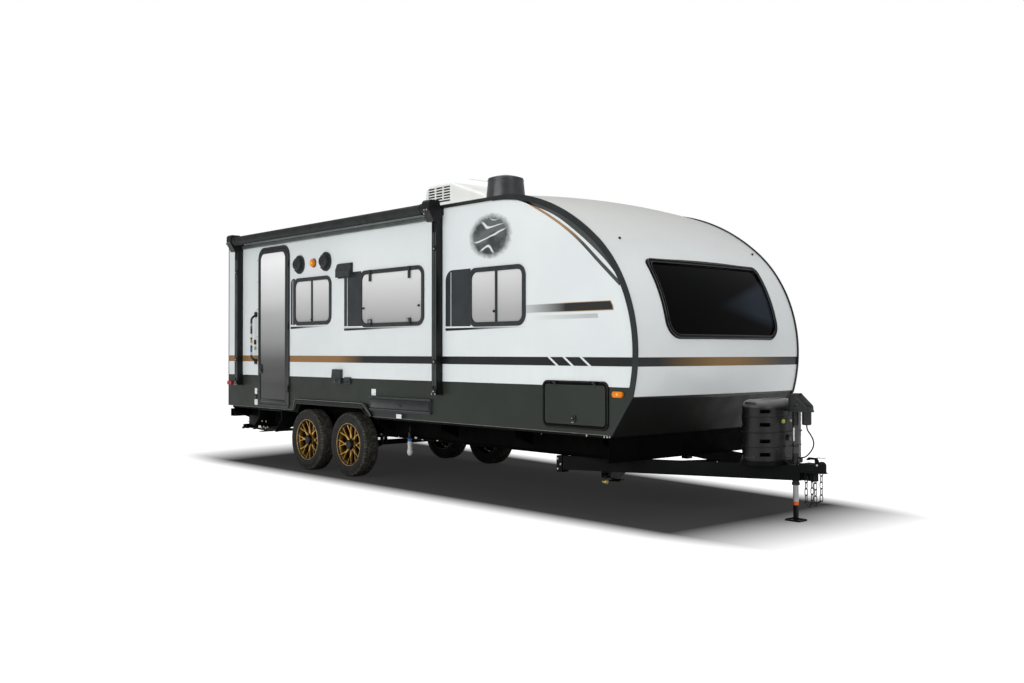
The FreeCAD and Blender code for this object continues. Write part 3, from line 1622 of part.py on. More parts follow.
# The space under the roof's face, to trim what stands on it
def under_roof():
    band = crown_band(roof_edge_z + seat_gap, 4 * shell_thick, half)
    band.translate(Vector(rear_x, 0, 0))
    return Part.Face(band).extrude(Vector(brow_cx - rear_x, 0, 0))


# Roof air conditioner: a moulded shroud with a sloped front and rows of louvre slots at the rear of both sides
def air_conditioner():
    w = ac_width / 2
    x0 = rear_x + ac_set
    x1 = x0 + ac_length
    z0 = roof_z(w) - ac_base_height / 2
    z1 = roof_z(w) + ac_height
    slope_x = x0 + ac_length * ac_slope_start_share
    chin_x = x0 + ac_length * ac_slope_end_share
    chin_z = z0 + ac_height * ac_chin_share
    nose_z = z0 + ac_height * ac_nose_share
    shroud = side_prism([(x0, z0), (x0 + ac_edge, z1 - ac_edge), (x0 + 3 * ac_edge, z1), (slope_x, z1),
                         (chin_x, chin_z), (x1, nose_z), (x1, z0)], -w, w)
    long_edges = [e for e in shroud.Edges if e.BoundBox.YLength < seat_gap
                  and e.BoundBox.ZMin > z0 + ac_base_height]
    shroud = shroud.makeFillet(ac_edge, long_edges)
    base = box(x0 - ac_edge / 2, x1 + ac_edge / 2, -w - ac_edge / 2, w + ac_edge / 2, z0, z0 + ac_base_height)
    shroud = shroud.fuse(base).cut(ac_slots(x0 + ac_slot_set, w, z1 - ac_slot_drop))
    return shroud.cut(under_roof())


def ac_slots(x0, w, z_top):
    cuts = []
    for side in (-1, 1):
        y0, y1 = sorted((side * (w - ac_slot_depth), side * (w + cut_over)))
        for row in range(ac_slot_rows):
            z1 = z_top - row * ac_slot_pitch
            for column in range(ac_slot_columns):
                x = x0 + column * (ac_slot_length + ac_slot_height)
                cuts.append(box(x, x + ac_slot_length, y0, y1, z1 - ac_slot_height, z1))
        z1 = z_top - ac_slot_rows * ac_slot_pitch
        x_end = x0 + ac_slot_columns * (ac_slot_length + ac_slot_height) - ac_slot_height
        cuts.append(box(x0, x_end, y0, y1, z1 - ac_slot_height, z1))
    return cuts


# Aerial housing: a tapered drum with a crowned top and a small foot beside it
def roof_antenna():
    x = brow_cx - antenna_brow_set
    y = antenna_side_set - half
    z0 = roof_z(y) - antenna_foot_radius
    height = antenna_height + antenna_foot_radius
    full_height = height + antenna_crown
    lean = (antenna_radius - antenna_top_radius) / height
    crown_radius = (antenna_top_radius ** 2 + antenna_crown ** 2) / (2 * antenna_crown)
    cone = Part.makeCone(antenna_radius, antenna_radius - lean * full_height, full_height, Vector(0, 0, z0))
    drum = cone.common(Part.makeSphere(crown_radius, Vector(0, 0, z0 + full_height - crown_radius)))
    foot = Part.makeCylinder(antenna_foot_radius, antenna_foot_height,
                             Vector(-antenna_radius - antenna_foot_radius / 2, 0, z0))
    return moved(drum.fuse(foot), Vector(x, y, 0)).cut(under_roof())


# Roof vent: an upstand round the opening and a hinged lid
def build_vent():
    x0 = rear_x + vent_set
    x1 = x0 + vent_size
    w = vent_size / 2
    top = roof_z(0) + vent_height
    base = box(x0, x1, -w, w, roof_z(w) - vent_wall, top)
    t = vent_wall
    base = base.cut(box(x0 + t, x1 - t, -w + t, w - t, wall_bottom_z, top + cut_over)).cut(under_roof())
    over = vent_lid_over
    lid_z = top + run_gap
    lid = box(x0 - over, x1 + over, -w - over, w + over, lid_z, lid_z + vent_lid_thick)
    lid = lid.makeChamfer(vent_lid_thick / 2, top_edges(lid, lid_z + vent_lid_thick))
    hx, hz = vent_hinge_line()
    reach = knuckle_length / 2
    for y in (-w / 2, w / 2):
        leaf_plate = box(hx, x0 - over + vent_lid_thick, y - reach + seat_gap, y + reach - seat_gap,
                         lid_z + seat_gap, lid_z + seat_gap + hinge_leaf)
        plate = box(hx - hinge_leaf, x0, y - 3 * reach, y + 3 * reach, top - over, top)
        plate = plate.fuse(box(hx - hinge_leaf, hx + hinge_leaf, y - 3 * reach, y + 3 * reach, top - over, hz))
        plate = plate.cut(box(hx - vent_size, x0 - seat_gap, y - reach - seat_gap, y + reach + seat_gap,
                              top - vent_size, hz + vent_size))
        fixed, moving = hinge(Vector(hx, y, hz), Vector(0, 1, 0), leaf_plate, plate)
        base = base.fuse(fixed)
        lid = lid.fuse(moving)
    save("roof_vent", [base])
    save("vent_lid", [lid.cut(base)])
    print("vent hinge line", round(hx, 2), round(hz, 2))


def vent_hinge_line():
    lid_z = roof_z(0) + vent_height + run_gap
    return rear_x + vent_set - vent_lid_over - knuckle_radius - hinge_leaf, lid_z + knuckle_radius


def build_roof_fittings():
    save("air_conditioner", [air_conditioner()])
    save("roof_antenna", [roof_antenna()])
    build_vent()


# Round outdoor speaker: a base ring with a domed housing
def speaker(x):
    place = Vector(x, wall_y, high_line_z)
    out = Vector(0, 1, 0)
    base = Part.makeCylinder(speaker_radius, speaker_base, place, out)
    dome_depth = speaker_depth - speaker_base
    dome = Part.makeCylinder(speaker_dome_radius, dome_depth, place + out * speaker_base, out)
    rim_edges = [e for e in dome.Edges if e.BoundBox.YMin > wall_y + speaker_depth - seat_gap]
    dome = dome.makeFillet(speaker_dome_radius * 0.45, rim_edges)
    return base.fuse(dome)


# Cooker vent: a flat flange and a hood that slopes out over its opening
def vent_hood():
    x0 = rear_x + hood_set
    x1 = x0 + hood_width
    z0 = hood_bottom_z
    z1 = z0 + hood_height
    rim_y = wall_y + hood_rim / 4
    flange = box(x0, x1, wall_y, rim_y, z0, z1)
    cowl = long_prism([(wall_y, z0 + hood_rim / 2), (wall_y + hood_depth, z0 + hood_rim / 2),
                       (wall_y + hood_depth, z0 + hood_height * 0.55),
                       (wall_y + hood_depth / 2, z1 - hood_rim / 2),
                       (wall_y, z1 - hood_rim / 2)], x0 + hood_rim / 2, x1 - hood_rim / 2)
    mouth = box(x0 + hood_rim, x1 - hood_rim, rim_y, wall_y + hood_depth - hood_rim / 4, z0 - cut_over,
                z0 + hood_height / 2)
    return flange.fuse(cowl.cut(mouth)).removeSplitter()


# Box with a sloped lid that stands over its foot, for an outlet or inlet on the wall
def lidded_box(x0, width, z0, height, depth):
    lid_z = z0 + 0.35 * height
    body = box(x0 + depth / 6, x0 + width - depth / 6, wall_y, wall_y + 0.7 * depth, z0, z0 + height)
    lid = long_prism([(wall_y, lid_z), (wall_y + depth, lid_z), (wall_y + 0.75 * depth, z0 + height),
                      (wall_y, z0 + height)], x0, x0 + width)
    return body.fuse(lid).removeSplitter()


# Folding table tray: a shallow open frame with a lip along its top and a closed panel
def side_table():
    x0 = arch_front_x + table_arch_set
    x1 = x0 + table_length
    z0 = table_bottom_z
    z1 = z0 + table_height
    y1 = wall_y + table_depth
    t = table_wall
    body = box(x0, x1, wall_y, y1 - table_lip, z0, z1 - table_lip)
    body = body.cut(box(x0 + t, x1 - t, y1 - table_lip - t, y1, z0 + 4 * t, z1 - table_lip - t))
    lip = box(x0 - table_lip, x1 + table_lip, wall_y, y1, z1 - table_lip, z1)
    shelf = box(x0 - table_lip / 2, x1 + table_lip / 2, wall_y, y1, z0 + 2 * t, z0 + 2 * t + table_lip / 2)
    return body.fuse([lip, shelf]).removeSplitter()


def build_side_fittings():
    outlet = lidded_box(rear_x + outlet_set, outlet_width, outlet_bottom_z, outlet_height, outlet_depth)
    inlet = lidded_box(rear_x + inlet_set, inlet_width, outlet_bottom_z, inlet_height, inlet_depth)
    speakers = [speaker(rear_x + rear_speaker_set), speaker(rear_x + front_speaker_set)]
    pieces = speakers + [vent_hood(), outlet, inlet, side_table()]
    save("side_fittings", [mirrored(piece) for piece in pieces])


def marker(x, z):
    w = marker_length / 2
    h = marker_height / 2
    return rounded_panel(x - w, x + w, z - h, z + h, marker_height * 0.45, wall_y, wall_y + marker_depth)


def build_lamps():
    porch = Part.makeCylinder(porch_lamp_radius, porch_lamp_depth,
                              Vector(rear_x + porch_lamp_set, wall_y, high_line_z), Vector(0, 1, 0))
    rim_edges = [e for e in porch.Edges if e.BoundBox.YMin > wall_y + porch_lamp_depth - seat_gap]
    lamps = [mirrored(porch.makeFillet(porch_lamp_depth * 0.6, rim_edges))]
    for lamp in (marker(nose_x - marker_nose_set, marker_z), marker(rear_x + rear_marker_set, rear_marker_z)):
        lamps.extend([lamp, mirrored(lamp)])
    x1 = rear_x - seat_gap
    y1 = half - tail_lamp_inset + tail_lamp_width / 2
    tail = box(x1 - tail_lamp_depth, x1, y1 - tail_lamp_width, y1, tail_lamp_z, tail_lamp_z + tail_lamp_height)
    tail = tail.makeFillet(tail_lamp_depth * 0.6, edges_along(tail, Vector(1, 0, 0)))
    lamps.extend([tail, mirrored(tail)])
    save("lamps", lamps)


# Bowed grab handle between two foot plates on the wall behind the door
def build_grip():
    x = rear_x + grip_set
    y = wall_y + grip_reach
    points = [Vector(x, wall_y + grip_foot_thick / 2, grip_bottom_z), Vector(x, y, grip_bottom_z + grip_bend),
              Vector(x, y, grip_top_z - grip_bend), Vector(x, wall_y + grip_foot_thick / 2, grip_top_z)]
    tube = bent_tube(points, grip_bend, grip_radius)[0]
    feet = []
    for z in (grip_bottom_z, grip_top_z):
        foot = rounded_panel(x - grip_foot_width / 2, x + grip_foot_width / 2, z - grip_foot_height / 2,
                             z + grip_foot_height / 2, grip_foot_width / 3, wall_y, wall_y + grip_foot_thick)
        feet.append(foot)
    wall_side = box(x - grip_reach, x + grip_reach, wall_y - grip_reach, wall_y, grip_bottom_z - grip_reach,
                    grip_top_z + grip_reach)
    save("grab_handle", [mirrored(tube.fuse(feet).cut(wall_side))])


# Folding step: a ribbed tread on lugs that turn about a pin between two cheek plates under the floor
def build_step():
    x0, x1 = step_ends()
    t = step_cheek
    pivot_y = half + step_out
    z = step_pivot_z
    tread_y = pivot_y - step_lug_radius - run_gap
    in_x0 = x0 + t + run_gap
    in_x1 = x1 - t - run_gap
    z0 = z - step_thick / 2
    tread = box(in_x0, in_x1, tread_y - step_depth, tread_y, z0, z0 + step_thick)
    hollow = box(in_x0 + t, in_x1 - t, tread_y - step_depth + t, tread_y - t, z0 - cut_over,
                 z0 + step_thick - step_rib / 2)
    tread = tread.cut(hollow)
    lugs = []
    for x in (in_x0, in_x1 - t):
        knob = rod(Vector(x, pivot_y, z), Vector(x + t, pivot_y, z), step_lug_radius - seat_gap)
        lugs.append(knob.fuse(box(x, x + t, tread_y - t, pivot_y, z0, z0 + step_thick)))
    hole = rod(Vector(x0, pivot_y, z), Vector(x1, pivot_y, z), step_pin_radius + seat_gap)
    save("entry_step", [mirrored(tread.fuse(lugs).removeSplitter().cut(hole))])
    top = floor_bottom_z - seat_gap
    root_y = beam_edge_y + seat_gap
    cheeks = []
    for x in (x0, x1 - t):
        cheeks.append(long_prism([
            (root_y, top), (inner_half, top), (inner_half, top - step_cheek_top / 2),
            (pivot_y + step_lug_radius, z + step_lug_radius), (pivot_y + step_lug_radius, z - step_lug_radius),
            (pivot_y - step_lug_radius, z - step_lug_radius), (root_y, z + step_cheek_top / 4)], x, x + t))
    pin = rod(Vector(x0, pivot_y, z), Vector(x1, pivot_y, z), step_pin_radius)
    deck = box(x0, x1, root_y, inner_half, top - t, top)
    back = box(x0, x1, root_y, root_y + t, z + step_cheek_top / 4, top)
    bracket = cheeks[0].fuse([cheeks[1], pin, deck, back]).removeSplitter()
    save("step_bracket", [mirrored(bracket)])


# Scissor jack folded flat: a channel, two pairs of arms, a foot, and its screw with a hex nut facing out
def stabiliser(top):
    w = stab_width / 2
    reach = stab_length / 2
    z1 = top
    z0 = z1 - stab_channel_height
    t = stab_foot_thick
    channel = box(-w, w, -reach, reach, z0, z1)
    channel = channel.cut(box(-w + t, w - t, -half, half, z0 - cut_over, z1 - t))
    low = z0 - stab_arm_height
    arms = []
    for side in (-1, 1):
        end = side * reach * 0.95
        for across in (-1, 1):
            x0 = across * (w - t - stab_arm_width / 2) - t / 2
            arms.append(long_prism([(end, z0 + t), (end, z1 - 2 * t), (0, z0), (0, low)], x0, x0 + t))
    foot = centred_box(0, 0, stab_width + 2 * t, stab_foot_length, low - t, low)
    hinge_pin = rod(Vector(-w, 0, low), Vector(w, 0, low), stab_screw_radius)
    screw_z = z0 + stab_screw_radius / 2
    screw = rod(Vector(0, -reach, screw_z), Vector(0, reach + stab_nut_length, screw_z), stab_screw_radius)
    blocks = []
    for side in (-1, 1):
        blocks.append(centred_box(0, side * reach * 0.9, stab_width, stab_nut_length, z0 - t, z0 + 2 * t))
    nut = facet_disc(stab_nut_radius, 6, 0, stab_nut_length)
    nut = moved(nut, Vector(0, reach + stab_nut_length / 2, screw_z))
    return channel.fuse(arms + [foot, hinge_pin, screw, nut] + blocks).removeSplitter()


def build_stabilisers():
    x = nose_x - front_stab_nose_set
    y = (rail_apex_x - x) * math.tan(math.radians(rail_half_angle)) + rail_width / 2
    front = stabiliser(rail_bottom_z - seat_gap)
    front.translate(Vector(0, stab_nut_out - stab_length / 2 - stab_nut_length, 0))
    front.rotate(Vector(0, 0, 0), Vector(0, 0, 1), -rail_half_angle)
    front.translate(Vector(x, y, 0))
    rear = stabiliser(beam_bottom_z - seat_gap)
    rear.translate(Vector(rear_x + rear_stab_set, half - rear_stab_side_set, 0))
    save("stabilisers", [front, mirrored(front), rear, mirrored(rear)])


def build_spare():
    bead = spare_width / 2 - run_gap
    tyre = turned_facets(tyre_outline(spare_radius, spare_width, spare_rim_radius, bead), spare_sides)
    disc = facet_disc(spare_rim_radius - seat_gap, spare_sides, -spare_width / 4, spare_width / 3)
    dish = facet_disc(spare_rim_radius * 0.7, spare_sides, -spare_width / 2, spare_width / 6)
    middle_z = spare_bar_z - seat_gap - spare_width / 2
    pieces = []
    for piece in (tyre, disc.cut(dish)):
        piece.rotate(Vector(0, 0, 0), Vector(1, 0, 0), quarter_turn)
        pieces.append(moved(piece, Vector(rear_x + spare_set, 0, middle_z)))
    save("spare_wheel", pieces)


build_roof()
build_front()
build_front_window()
build_walls()
build_floor()
build_wells()
build_chassis()
build_tongue()
build_jack()
build_cover()
build_wheels()
build_axles()
build_windows()
build_door()
build_hatches()
build_mouldings()
build_awning()
build_roof_fittings()
build_side_fittings()
build_lamps()
build_grip()
build_step()
build_stabilisers()
build_spare()
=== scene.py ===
import math

import bmesh
import bpy
from mathutils import Matrix, Vector


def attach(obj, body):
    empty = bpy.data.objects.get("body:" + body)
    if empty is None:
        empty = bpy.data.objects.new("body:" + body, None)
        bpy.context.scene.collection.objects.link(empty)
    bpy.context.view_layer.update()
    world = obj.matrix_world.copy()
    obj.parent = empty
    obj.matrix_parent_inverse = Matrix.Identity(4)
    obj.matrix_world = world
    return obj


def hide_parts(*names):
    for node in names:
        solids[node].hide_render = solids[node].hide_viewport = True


# A single-storey travel caravan on two axles, parked on its wheels and its tongue jack.
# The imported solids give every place: X forward to the coupler, Y to the road side, Z up.
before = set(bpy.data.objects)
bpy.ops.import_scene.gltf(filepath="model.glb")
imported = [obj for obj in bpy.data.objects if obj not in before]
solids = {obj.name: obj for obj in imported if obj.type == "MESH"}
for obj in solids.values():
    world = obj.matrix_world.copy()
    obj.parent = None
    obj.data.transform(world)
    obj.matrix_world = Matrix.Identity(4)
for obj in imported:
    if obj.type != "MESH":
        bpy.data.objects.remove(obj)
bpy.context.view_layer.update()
scene = bpy.context.scene


# Ladder frame: two long beams, cross channels with outriggers, the tongue rails and the
# rear bumper, all of welded steel. Their black chassis paint dries with a slight orange peel
# and gathers pale road dust on top. The beams and cross channels under the floor are a darker
# black: painted shade.
def shade(red, green, blue):
    """A colour as seen on a screen, 0 to 255, turned into the linear value a shader takes."""
    values = []
    for level in (red, green, blue):
        share = level / 255
        values.append(share / 12.92 if share <= 0.04045 else ((share + 0.055) / 1.055) ** 2.4)
    return (*values, 1.0)


def linked(finish, kind, source=None, inlet=0, **values):
    """Adds a shader node, sets its named inputs or settings, and feeds one inlet."""
    part = finish.node_tree.nodes.new(kind)
    for key, value in values.items():
        name = key.replace("_", " ")
        if hasattr(part, key):
            setattr(part, key, value)
        else:
            part.inputs[name].default_value = value
    if source is not None:
        finish.node_tree.links.new(source, part.inputs[inlet])
    return part


def place(finish):
    """The point on the piece in the caravan's own frame, the same for every view."""
    return linked(finish, "ShaderNodeTexCoord").outputs["Object"]


def cloud(finish, scale, detail=3.0, stretch=None):
    """A soft random field with so many cells to the metre, stretched along an axis if asked."""
    source = place(finish)
    if stretch:
        source = linked(finish, "ShaderNodeMapping", source, 0, Scale=stretch).outputs[0]
    return linked(finish, "ShaderNodeTexNoise", source, "Vector", Scale=scale, Detail=detail).outputs["Fac"]


def ramp(finish, source, low, high, start=0.0, end=1.0):
    """A socket that runs from start to end while its source runs from low to high."""
    part = linked(finish, "ShaderNodeMapRange", source, 0)
    for slot_name, value in (("From Min", low), ("From Max", high), ("To Min", start), ("To Max", end)):
        part.inputs[slot_name].default_value = value
    return part.outputs[0]


def mixed(finish, share, first, second):
    """Two colours or colour sockets blended by a share."""
    part = linked(finish, "ShaderNodeMix", share, 0, data_type="RGBA")
    for value, inlet in ((first, part.inputs[6]), (second, part.inputs[7])):
        if isinstance(value, tuple):
            inlet.default_value = value
        else:
            finish.node_tree.links.new(value, inlet)
    return part.outputs[2]


def made_finish(name, dark, light, rough, metal=0.0, coat=0.0, patch=3.0, grain=900.0, depth=0.0001,
                gloss=0.2, stretch=None):
    """A finish whose colour drifts in patches, whose sheen varies and whose face has a fine grain."""
    finish = bpy.data.materials.new(name)
    finish.use_nodes = True
    face = finish.node_tree.nodes["Principled BSDF"]
    join = finish.node_tree.links.new
    drift = ramp(finish, cloud(finish, patch, 5.0, stretch), 0.35, 0.65)
    join(mixed(finish, drift, dark, light), face.inputs["Base Color"])
    join(ramp(finish, cloud(finish, patch * 5, 4.0, stretch), 0.3, 0.7, *rough), face.inputs["Roughness"])
    relief = linked(finish, "ShaderNodeBump", cloud(finish, grain, 2.0, stretch), "Height", Distance=depth,
                    Strength=1.0)
    join(relief.outputs[0], face.inputs["Normal"])
    face.inputs["Metallic"].default_value = metal
    face.inputs["Coat Weight"].default_value = coat
    face.inputs["Coat Roughness"].default_value = 0.08
    face.inputs["Specular IOR Level"].default_value = gloss
    return finish


def colour_socket(finish):
    """The socket that feeds the face's colour, so that a mark can be laid over it."""
    face = finish.node_tree.nodes["Principled BSDF"]
    return face.inputs["Base Color"].links[0].from_socket


def over(finish, share, colour):
    """Lays a mark of another colour over the face where the share is one."""
    face = finish.node_tree.nodes["Principled BSDF"]
    finish.node_tree.links.new(mixed(finish, share, colour_socket(finish), colour), face.inputs["Base Color"])


def axis_of(finish, letter):
    """One coordinate of the point on the piece."""
    return linked(finish, "ShaderNodeSeparateXYZ", place(finish), 0).outputs[letter]


def sums(finish, operation, first, second=0.0):
    """One step of arithmetic on sockets or numbers."""
    part = linked(finish, "ShaderNodeMath", operation=operation)
    for value, inlet in ((first, part.inputs[0]), (second, part.inputs[1])):
        if isinstance(value, (int, float)):
            inlet.default_value = value
        else:
            finish.node_tree.links.new(value, inlet)
    return part.outputs[0]


def between(finish, source, low, high):
    """One where a socket lies between two levels, and zero elsewhere."""
    return sums(finish, "MULTIPLY", sums(finish, "GREATER_THAN", source, low),
                sums(finish, "LESS_THAN", source, high))


def dust(finish, colour, amount, grain=14.0):
    """Pale road dust that settles on faces that look up and fades in patches."""
    facing = linked(finish, "ShaderNodeNewGeometry").outputs["Normal"]
    upward = linked(finish, "ShaderNodeSeparateXYZ", facing, 0).outputs["Z"]
    patches = ramp(finish, cloud(finish, grain, 6.0), 0.35, 0.7)
    share = sums(finish, "MULTIPLY", ramp(finish, upward, 0.2, 0.9), patches)
    over(finish, sums(finish, "MULTIPLY", share, amount), colour)


def dress(finish, slot_name, *names):
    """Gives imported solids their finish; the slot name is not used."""
    for name in names:
        solid = solids[name]
        for slot_row in solid.material_slots:
            slot_row.material = finish


chassis_paint = made_finish("chassis_paint", shade(10, 11, 11), shade(18, 19, 19), (0.4, 0.55), patch=2.4,
                            grain=320.0, depth=0.0004, gloss=0.06)
dust(chassis_paint, shade(70, 68, 62), 0.2)
dress(chassis_paint, "frame_black", "tongue_rails", "rear_bumper", "gas_tray")
# Painted shade: the beams and cross channels under the floor are near black.
shaded_beam_paint = made_finish("shaded_beam_paint", shade(3, 3, 3), shade(8, 8, 8), (0.55, 0.7), patch=2.4, grain=320.0,
                         depth=0.0004, gloss=0.02)
dust(shaded_beam_paint, shade(60, 58, 52), 0.2)
dress(shaded_beam_paint, "frame_black", "main_beams", "cross_members")


# Bolt and screw heads all over the frame: hexagon heads on a washer, zinc plated, and set
# wherever a bracket, a rail end or a trim is fastened. One head is copied to every place.
def sealed(name, form, finish, smooth):
    """Turns built geometry into an object with its finish and rounded shading, faces outwards."""
    bmesh.ops.recalc_face_normals(form, faces=form.faces)
    mesh = bpy.data.meshes.new(name)
    form.to_mesh(mesh)
    form.free()
    piece = bpy.data.objects.new(name, mesh)
    scene.collection.objects.link(piece)
    mesh.materials.append(finish)
    if smooth:
        mesh.shade_smooth()
        mesh.set_sharp_from_angle(angle=math.radians(smooth))
    return piece


def fitted(piece, body):
    """Makes a piece ride on its body."""
    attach(piece, body)


def lathe(form, points, sides, axis="Z", at=(0, 0, 0)):
    """Turns a line of radius and height pairs about an axis, with closed poles."""
    turns = [2 * math.pi * step / sides for step in range(sides)]
    rings = []
    for radius, height in points:
        if rings and (radius, height) == points[0]:
            rings.append(rings[0])
        elif radius == 0:
            rings.append([form.verts.new((0, 0, height))] * sides)
        else:
            spots = [(radius * math.cos(turn), radius * math.sin(turn), height) for turn in turns]
            rings.append([form.verts.new(spot) for spot in spots])
    for low, high in zip(rings, rings[1:]):
        for step in range(sides):
            corners = (low[step], low[step - 1], high[step - 1], high[step])
            form.faces.new(list(dict.fromkeys(corners)))
    made = [vert for ring in rings for vert in ring]
    quarter = math.pi / 2
    turned = {"Z": Matrix(), "-Z": Matrix.Rotation(2 * quarter, 4, "X"), "Y": Matrix.Rotation(-quarter, 4, "X"),
              "-Y": Matrix.Rotation(quarter, 4, "X"), "X": Matrix.Rotation(quarter, 4, "Y")}[axis]
    bmesh.ops.transform(form, matrix=Matrix.Translation(at) @ turned, verts=list(dict.fromkeys(made)))


def slab(form, corner, far_corner, edge=0.0, steps=2):
    """A block between two corners, its edges rounded over by a small radius."""
    low = Vector([min(pair) for pair in zip(corner, far_corner)])
    high = Vector([max(pair) for pair in zip(corner, far_corner)])
    made = bmesh.ops.create_cube(form, size=1.0)["verts"]
    for vert in made:
        vert.co = low + (vert.co + Vector((0.5, 0.5, 0.5))) * (high - low)
    if edge:
        edges = list({e for vert in made for e in vert.link_edges})
        bmesh.ops.bevel(form, geom=edges, offset=edge, segments=steps, affect="EDGES", profile=0.5)


def shaped(name, shapes, finish, smooth=35.0):
    """One piece from a list of shapes, each a row with its maker and its measures."""
    form = bmesh.new()
    for make, *measures in shapes:
        make(form, *measures)
    return sealed(name, form, finish, smooth)


def built(name, shapes, finish, body="caravan", smooth=35.0):
    """A shaped piece that rides on a body."""
    fitted(shaped(name, shapes, finish, smooth), body)


def copy_tree(name, number, number_type, kinds):
    """A tree that puts a part on points and coats it, with some nodes of its own for the rest."""
    tree = bpy.data.node_groups.new(name, "GeometryNodeTree")
    for label, way, socket in (("Geometry", "INPUT", "Geometry"), ("Part", "INPUT", "Object"),
                               (number, "INPUT", number_type), ("Finish", "INPUT", "Material"),
                               ("Geometry", "OUTPUT", "Geometry")):
        tree.interface.new_socket(label, in_out=way, socket_type="NodeSocket" + socket)
    start, source, put, real, coat, end = [tree.nodes.new(kind) for kind in (
        "NodeGroupInput", "GeometryNodeObjectInfo", "GeometryNodeInstanceOnPoints",
        "GeometryNodeRealizeInstances", "GeometryNodeSetMaterial", "NodeGroupOutput")]
    join = tree.links.new
    join(start.outputs["Part"], source.inputs["Object"])
    join(source.outputs["Geometry"], put.inputs["Instance"])
    join(put.outputs["Instances"], real.inputs["Geometry"])
    join(real.outputs["Geometry"], coat.inputs["Geometry"])
    join(start.outputs["Finish"], coat.inputs["Material"])
    join(coat.outputs["Geometry"], end.inputs["Geometry"])
    return tree, start, put, [tree.nodes.new(kind) for kind in kinds]


def grown(name, points, tree, part, number, finish):
    """The plain mesh that a tree makes of a part, a number and a finish on a mesh of points."""
    carrier = bpy.data.objects.new(name + "_points", points)
    scene.collection.objects.link(carrier)
    spread = carrier.modifiers.new("spread", "NODES")
    spread.node_group = tree
    inlets = [row.identifier for row in tree.interface.items_tree if row.in_out == "INPUT"]
    for inlet, value in zip(inlets[1:], (part, number, finish)):
        spread[inlet] = value
    bpy.context.view_layer.update()
    done = bpy.data.meshes.new_from_object(carrier.evaluated_get(bpy.context.evaluated_depsgraph_get()))
    done.name = name
    bpy.data.objects.remove(carrier)
    return done


# The spreader turns each copy to face along its point's own direction
spreader, start, put, (aim, facing) = copy_tree(
    "set_on_points", "Size", "Float", ("FunctionNodeAlignRotationToVector", "GeometryNodeInputNamedAttribute"))
facing.data_type = "FLOAT_VECTOR"
facing.inputs["Name"].default_value = "facing"
aim.axis = "Z"
spreader.links.new(facing.outputs["Attribute"], aim.inputs["Vector"])
spreader.links.new(start.outputs["Geometry"], put.inputs["Points"])
spreader.links.new(aim.outputs["Rotation"], put.inputs["Rotation"])
spreader.links.new(start.outputs["Size"], put.inputs["Scale"])


def outward(side, depth, spots):
    """Places along and up on one side, so far out, each with its direction straight out."""
    return [(Vector((x, side * depth, z)), Vector((0, side, 0))) for x, z in spots]


def set_parts(name, part, places, finish, size=1.0):
    """Copies a part to each place and direction, as one plain mesh on the caravan."""
    mesh = bpy.data.meshes.new(name + "_points")
    mesh.from_pydata([spot for spot, way in places], [], [])
    aims = mesh.attributes.new("facing", "FLOAT_VECTOR", "POINT")
    for row, (spot, way) in zip(aims.data, places):
        row.vector = way
    piece = bpy.data.objects.new(name, grown(name, mesh, spreader, part, size, finish))
    scene.collection.objects.link(piece)
    fitted(piece, "caravan")


zinc = made_finish("zinc_plate", shade(168, 168, 164), shade(198, 197, 190), (0.28, 0.45), metal=0.9, patch=30.0,
                   depth=0.00008)
bolt_radius = 0.011
bolt_head = shaped("bolt_head", [
    (lathe, [(0, 0), (bolt_radius * 1.5, 0), (bolt_radius * 1.5, 0.0018), (bolt_radius * 1.05, 0.002)], 16),
    (lathe, [(0, 0.0015), (bolt_radius, 0.0015), (bolt_radius, 0.0085), (bolt_radius * 0.86, 0.0098),
     (0, 0.0098)], 6),
], zinc, 25.0)

beam_face = 0.9071
beam_bolt_z = 0.668
frame_bolts = [(along, beam_bolt_z) for along in (-7.72, -6.95, -3.80, -2.25)]
frame_places = outward(-1, beam_face, frame_bolts) + outward(1, beam_face, frame_bolts)
set_parts("frame_bolts", bolt_head, frame_places, zinc, 0.55)


# Running gear: steel tube axles, and leaf packs shackled to hangers and an equaliser. All of
# it is painted black, as are the stabilisers, and brown dust lies on the axles' upper faces.
axle_paint = made_finish("axle_paint", shade(10, 10, 10), shade(22, 21, 19), (0.4, 0.6), patch=12.0, grain=500.0,
                         depth=0.0005, gloss=0.06)
dust(axle_paint, shade(80, 72, 62), 0.2)
spring_steel = made_finish("spring_steel", shade(14, 14, 14), shade(28, 26, 24), (0.4, 0.6), metal=0.2, patch=20.0,
                           grain=700.0, depth=0.0003)
dress(axle_paint, "frame_black", "axles", "stabilisers")
dress(spring_steel, "frame_black", "springs")


# Four road wheels: a radial trailer tyre with five ribs and cut shoulder lugs, on a cast rim
# painted bronze. Eight forked spokes run in from the lip to a hub with six nuts and a black cap.
wheel_places = {"wheel_rear_curb": (-6.23, -1), "wheel_front_curb": (-5.30, -1),
                "wheel_rear_road": (-6.23, 1), "wheel_front_road": (-5.30, 1)}
wheel_out = 1.055
tread_radius = 0.376
tread_depth = 0.0078
lug_count = 60

# The ring repeater turns each copy by an equal share of a full turn about the axle line
ring_repeater, start, put, (spots, order, share, turn, way) = copy_tree(
    "turn_about_axle", "Count", "Int", ("GeometryNodePoints", "GeometryNodeInputIndex", "ShaderNodeMath",
                                        "ShaderNodeMath", "ShaderNodeCombineXYZ"))
share.operation = "DIVIDE"
turn.operation = "MULTIPLY"
turn.inputs[1].default_value = 2 * math.pi
ring_repeater.links.new(start.outputs["Count"], spots.inputs["Count"])
ring_repeater.links.new(order.outputs[0], share.inputs[0])
ring_repeater.links.new(start.outputs["Count"], share.inputs[1])
ring_repeater.links.new(share.outputs[0], turn.inputs[0])
ring_repeater.links.new(turn.outputs[0], way.inputs["Y"])
ring_repeater.links.new(spots.outputs[0], put.inputs["Points"])
ring_repeater.links.new(way.outputs[0], put.inputs["Rotation"])


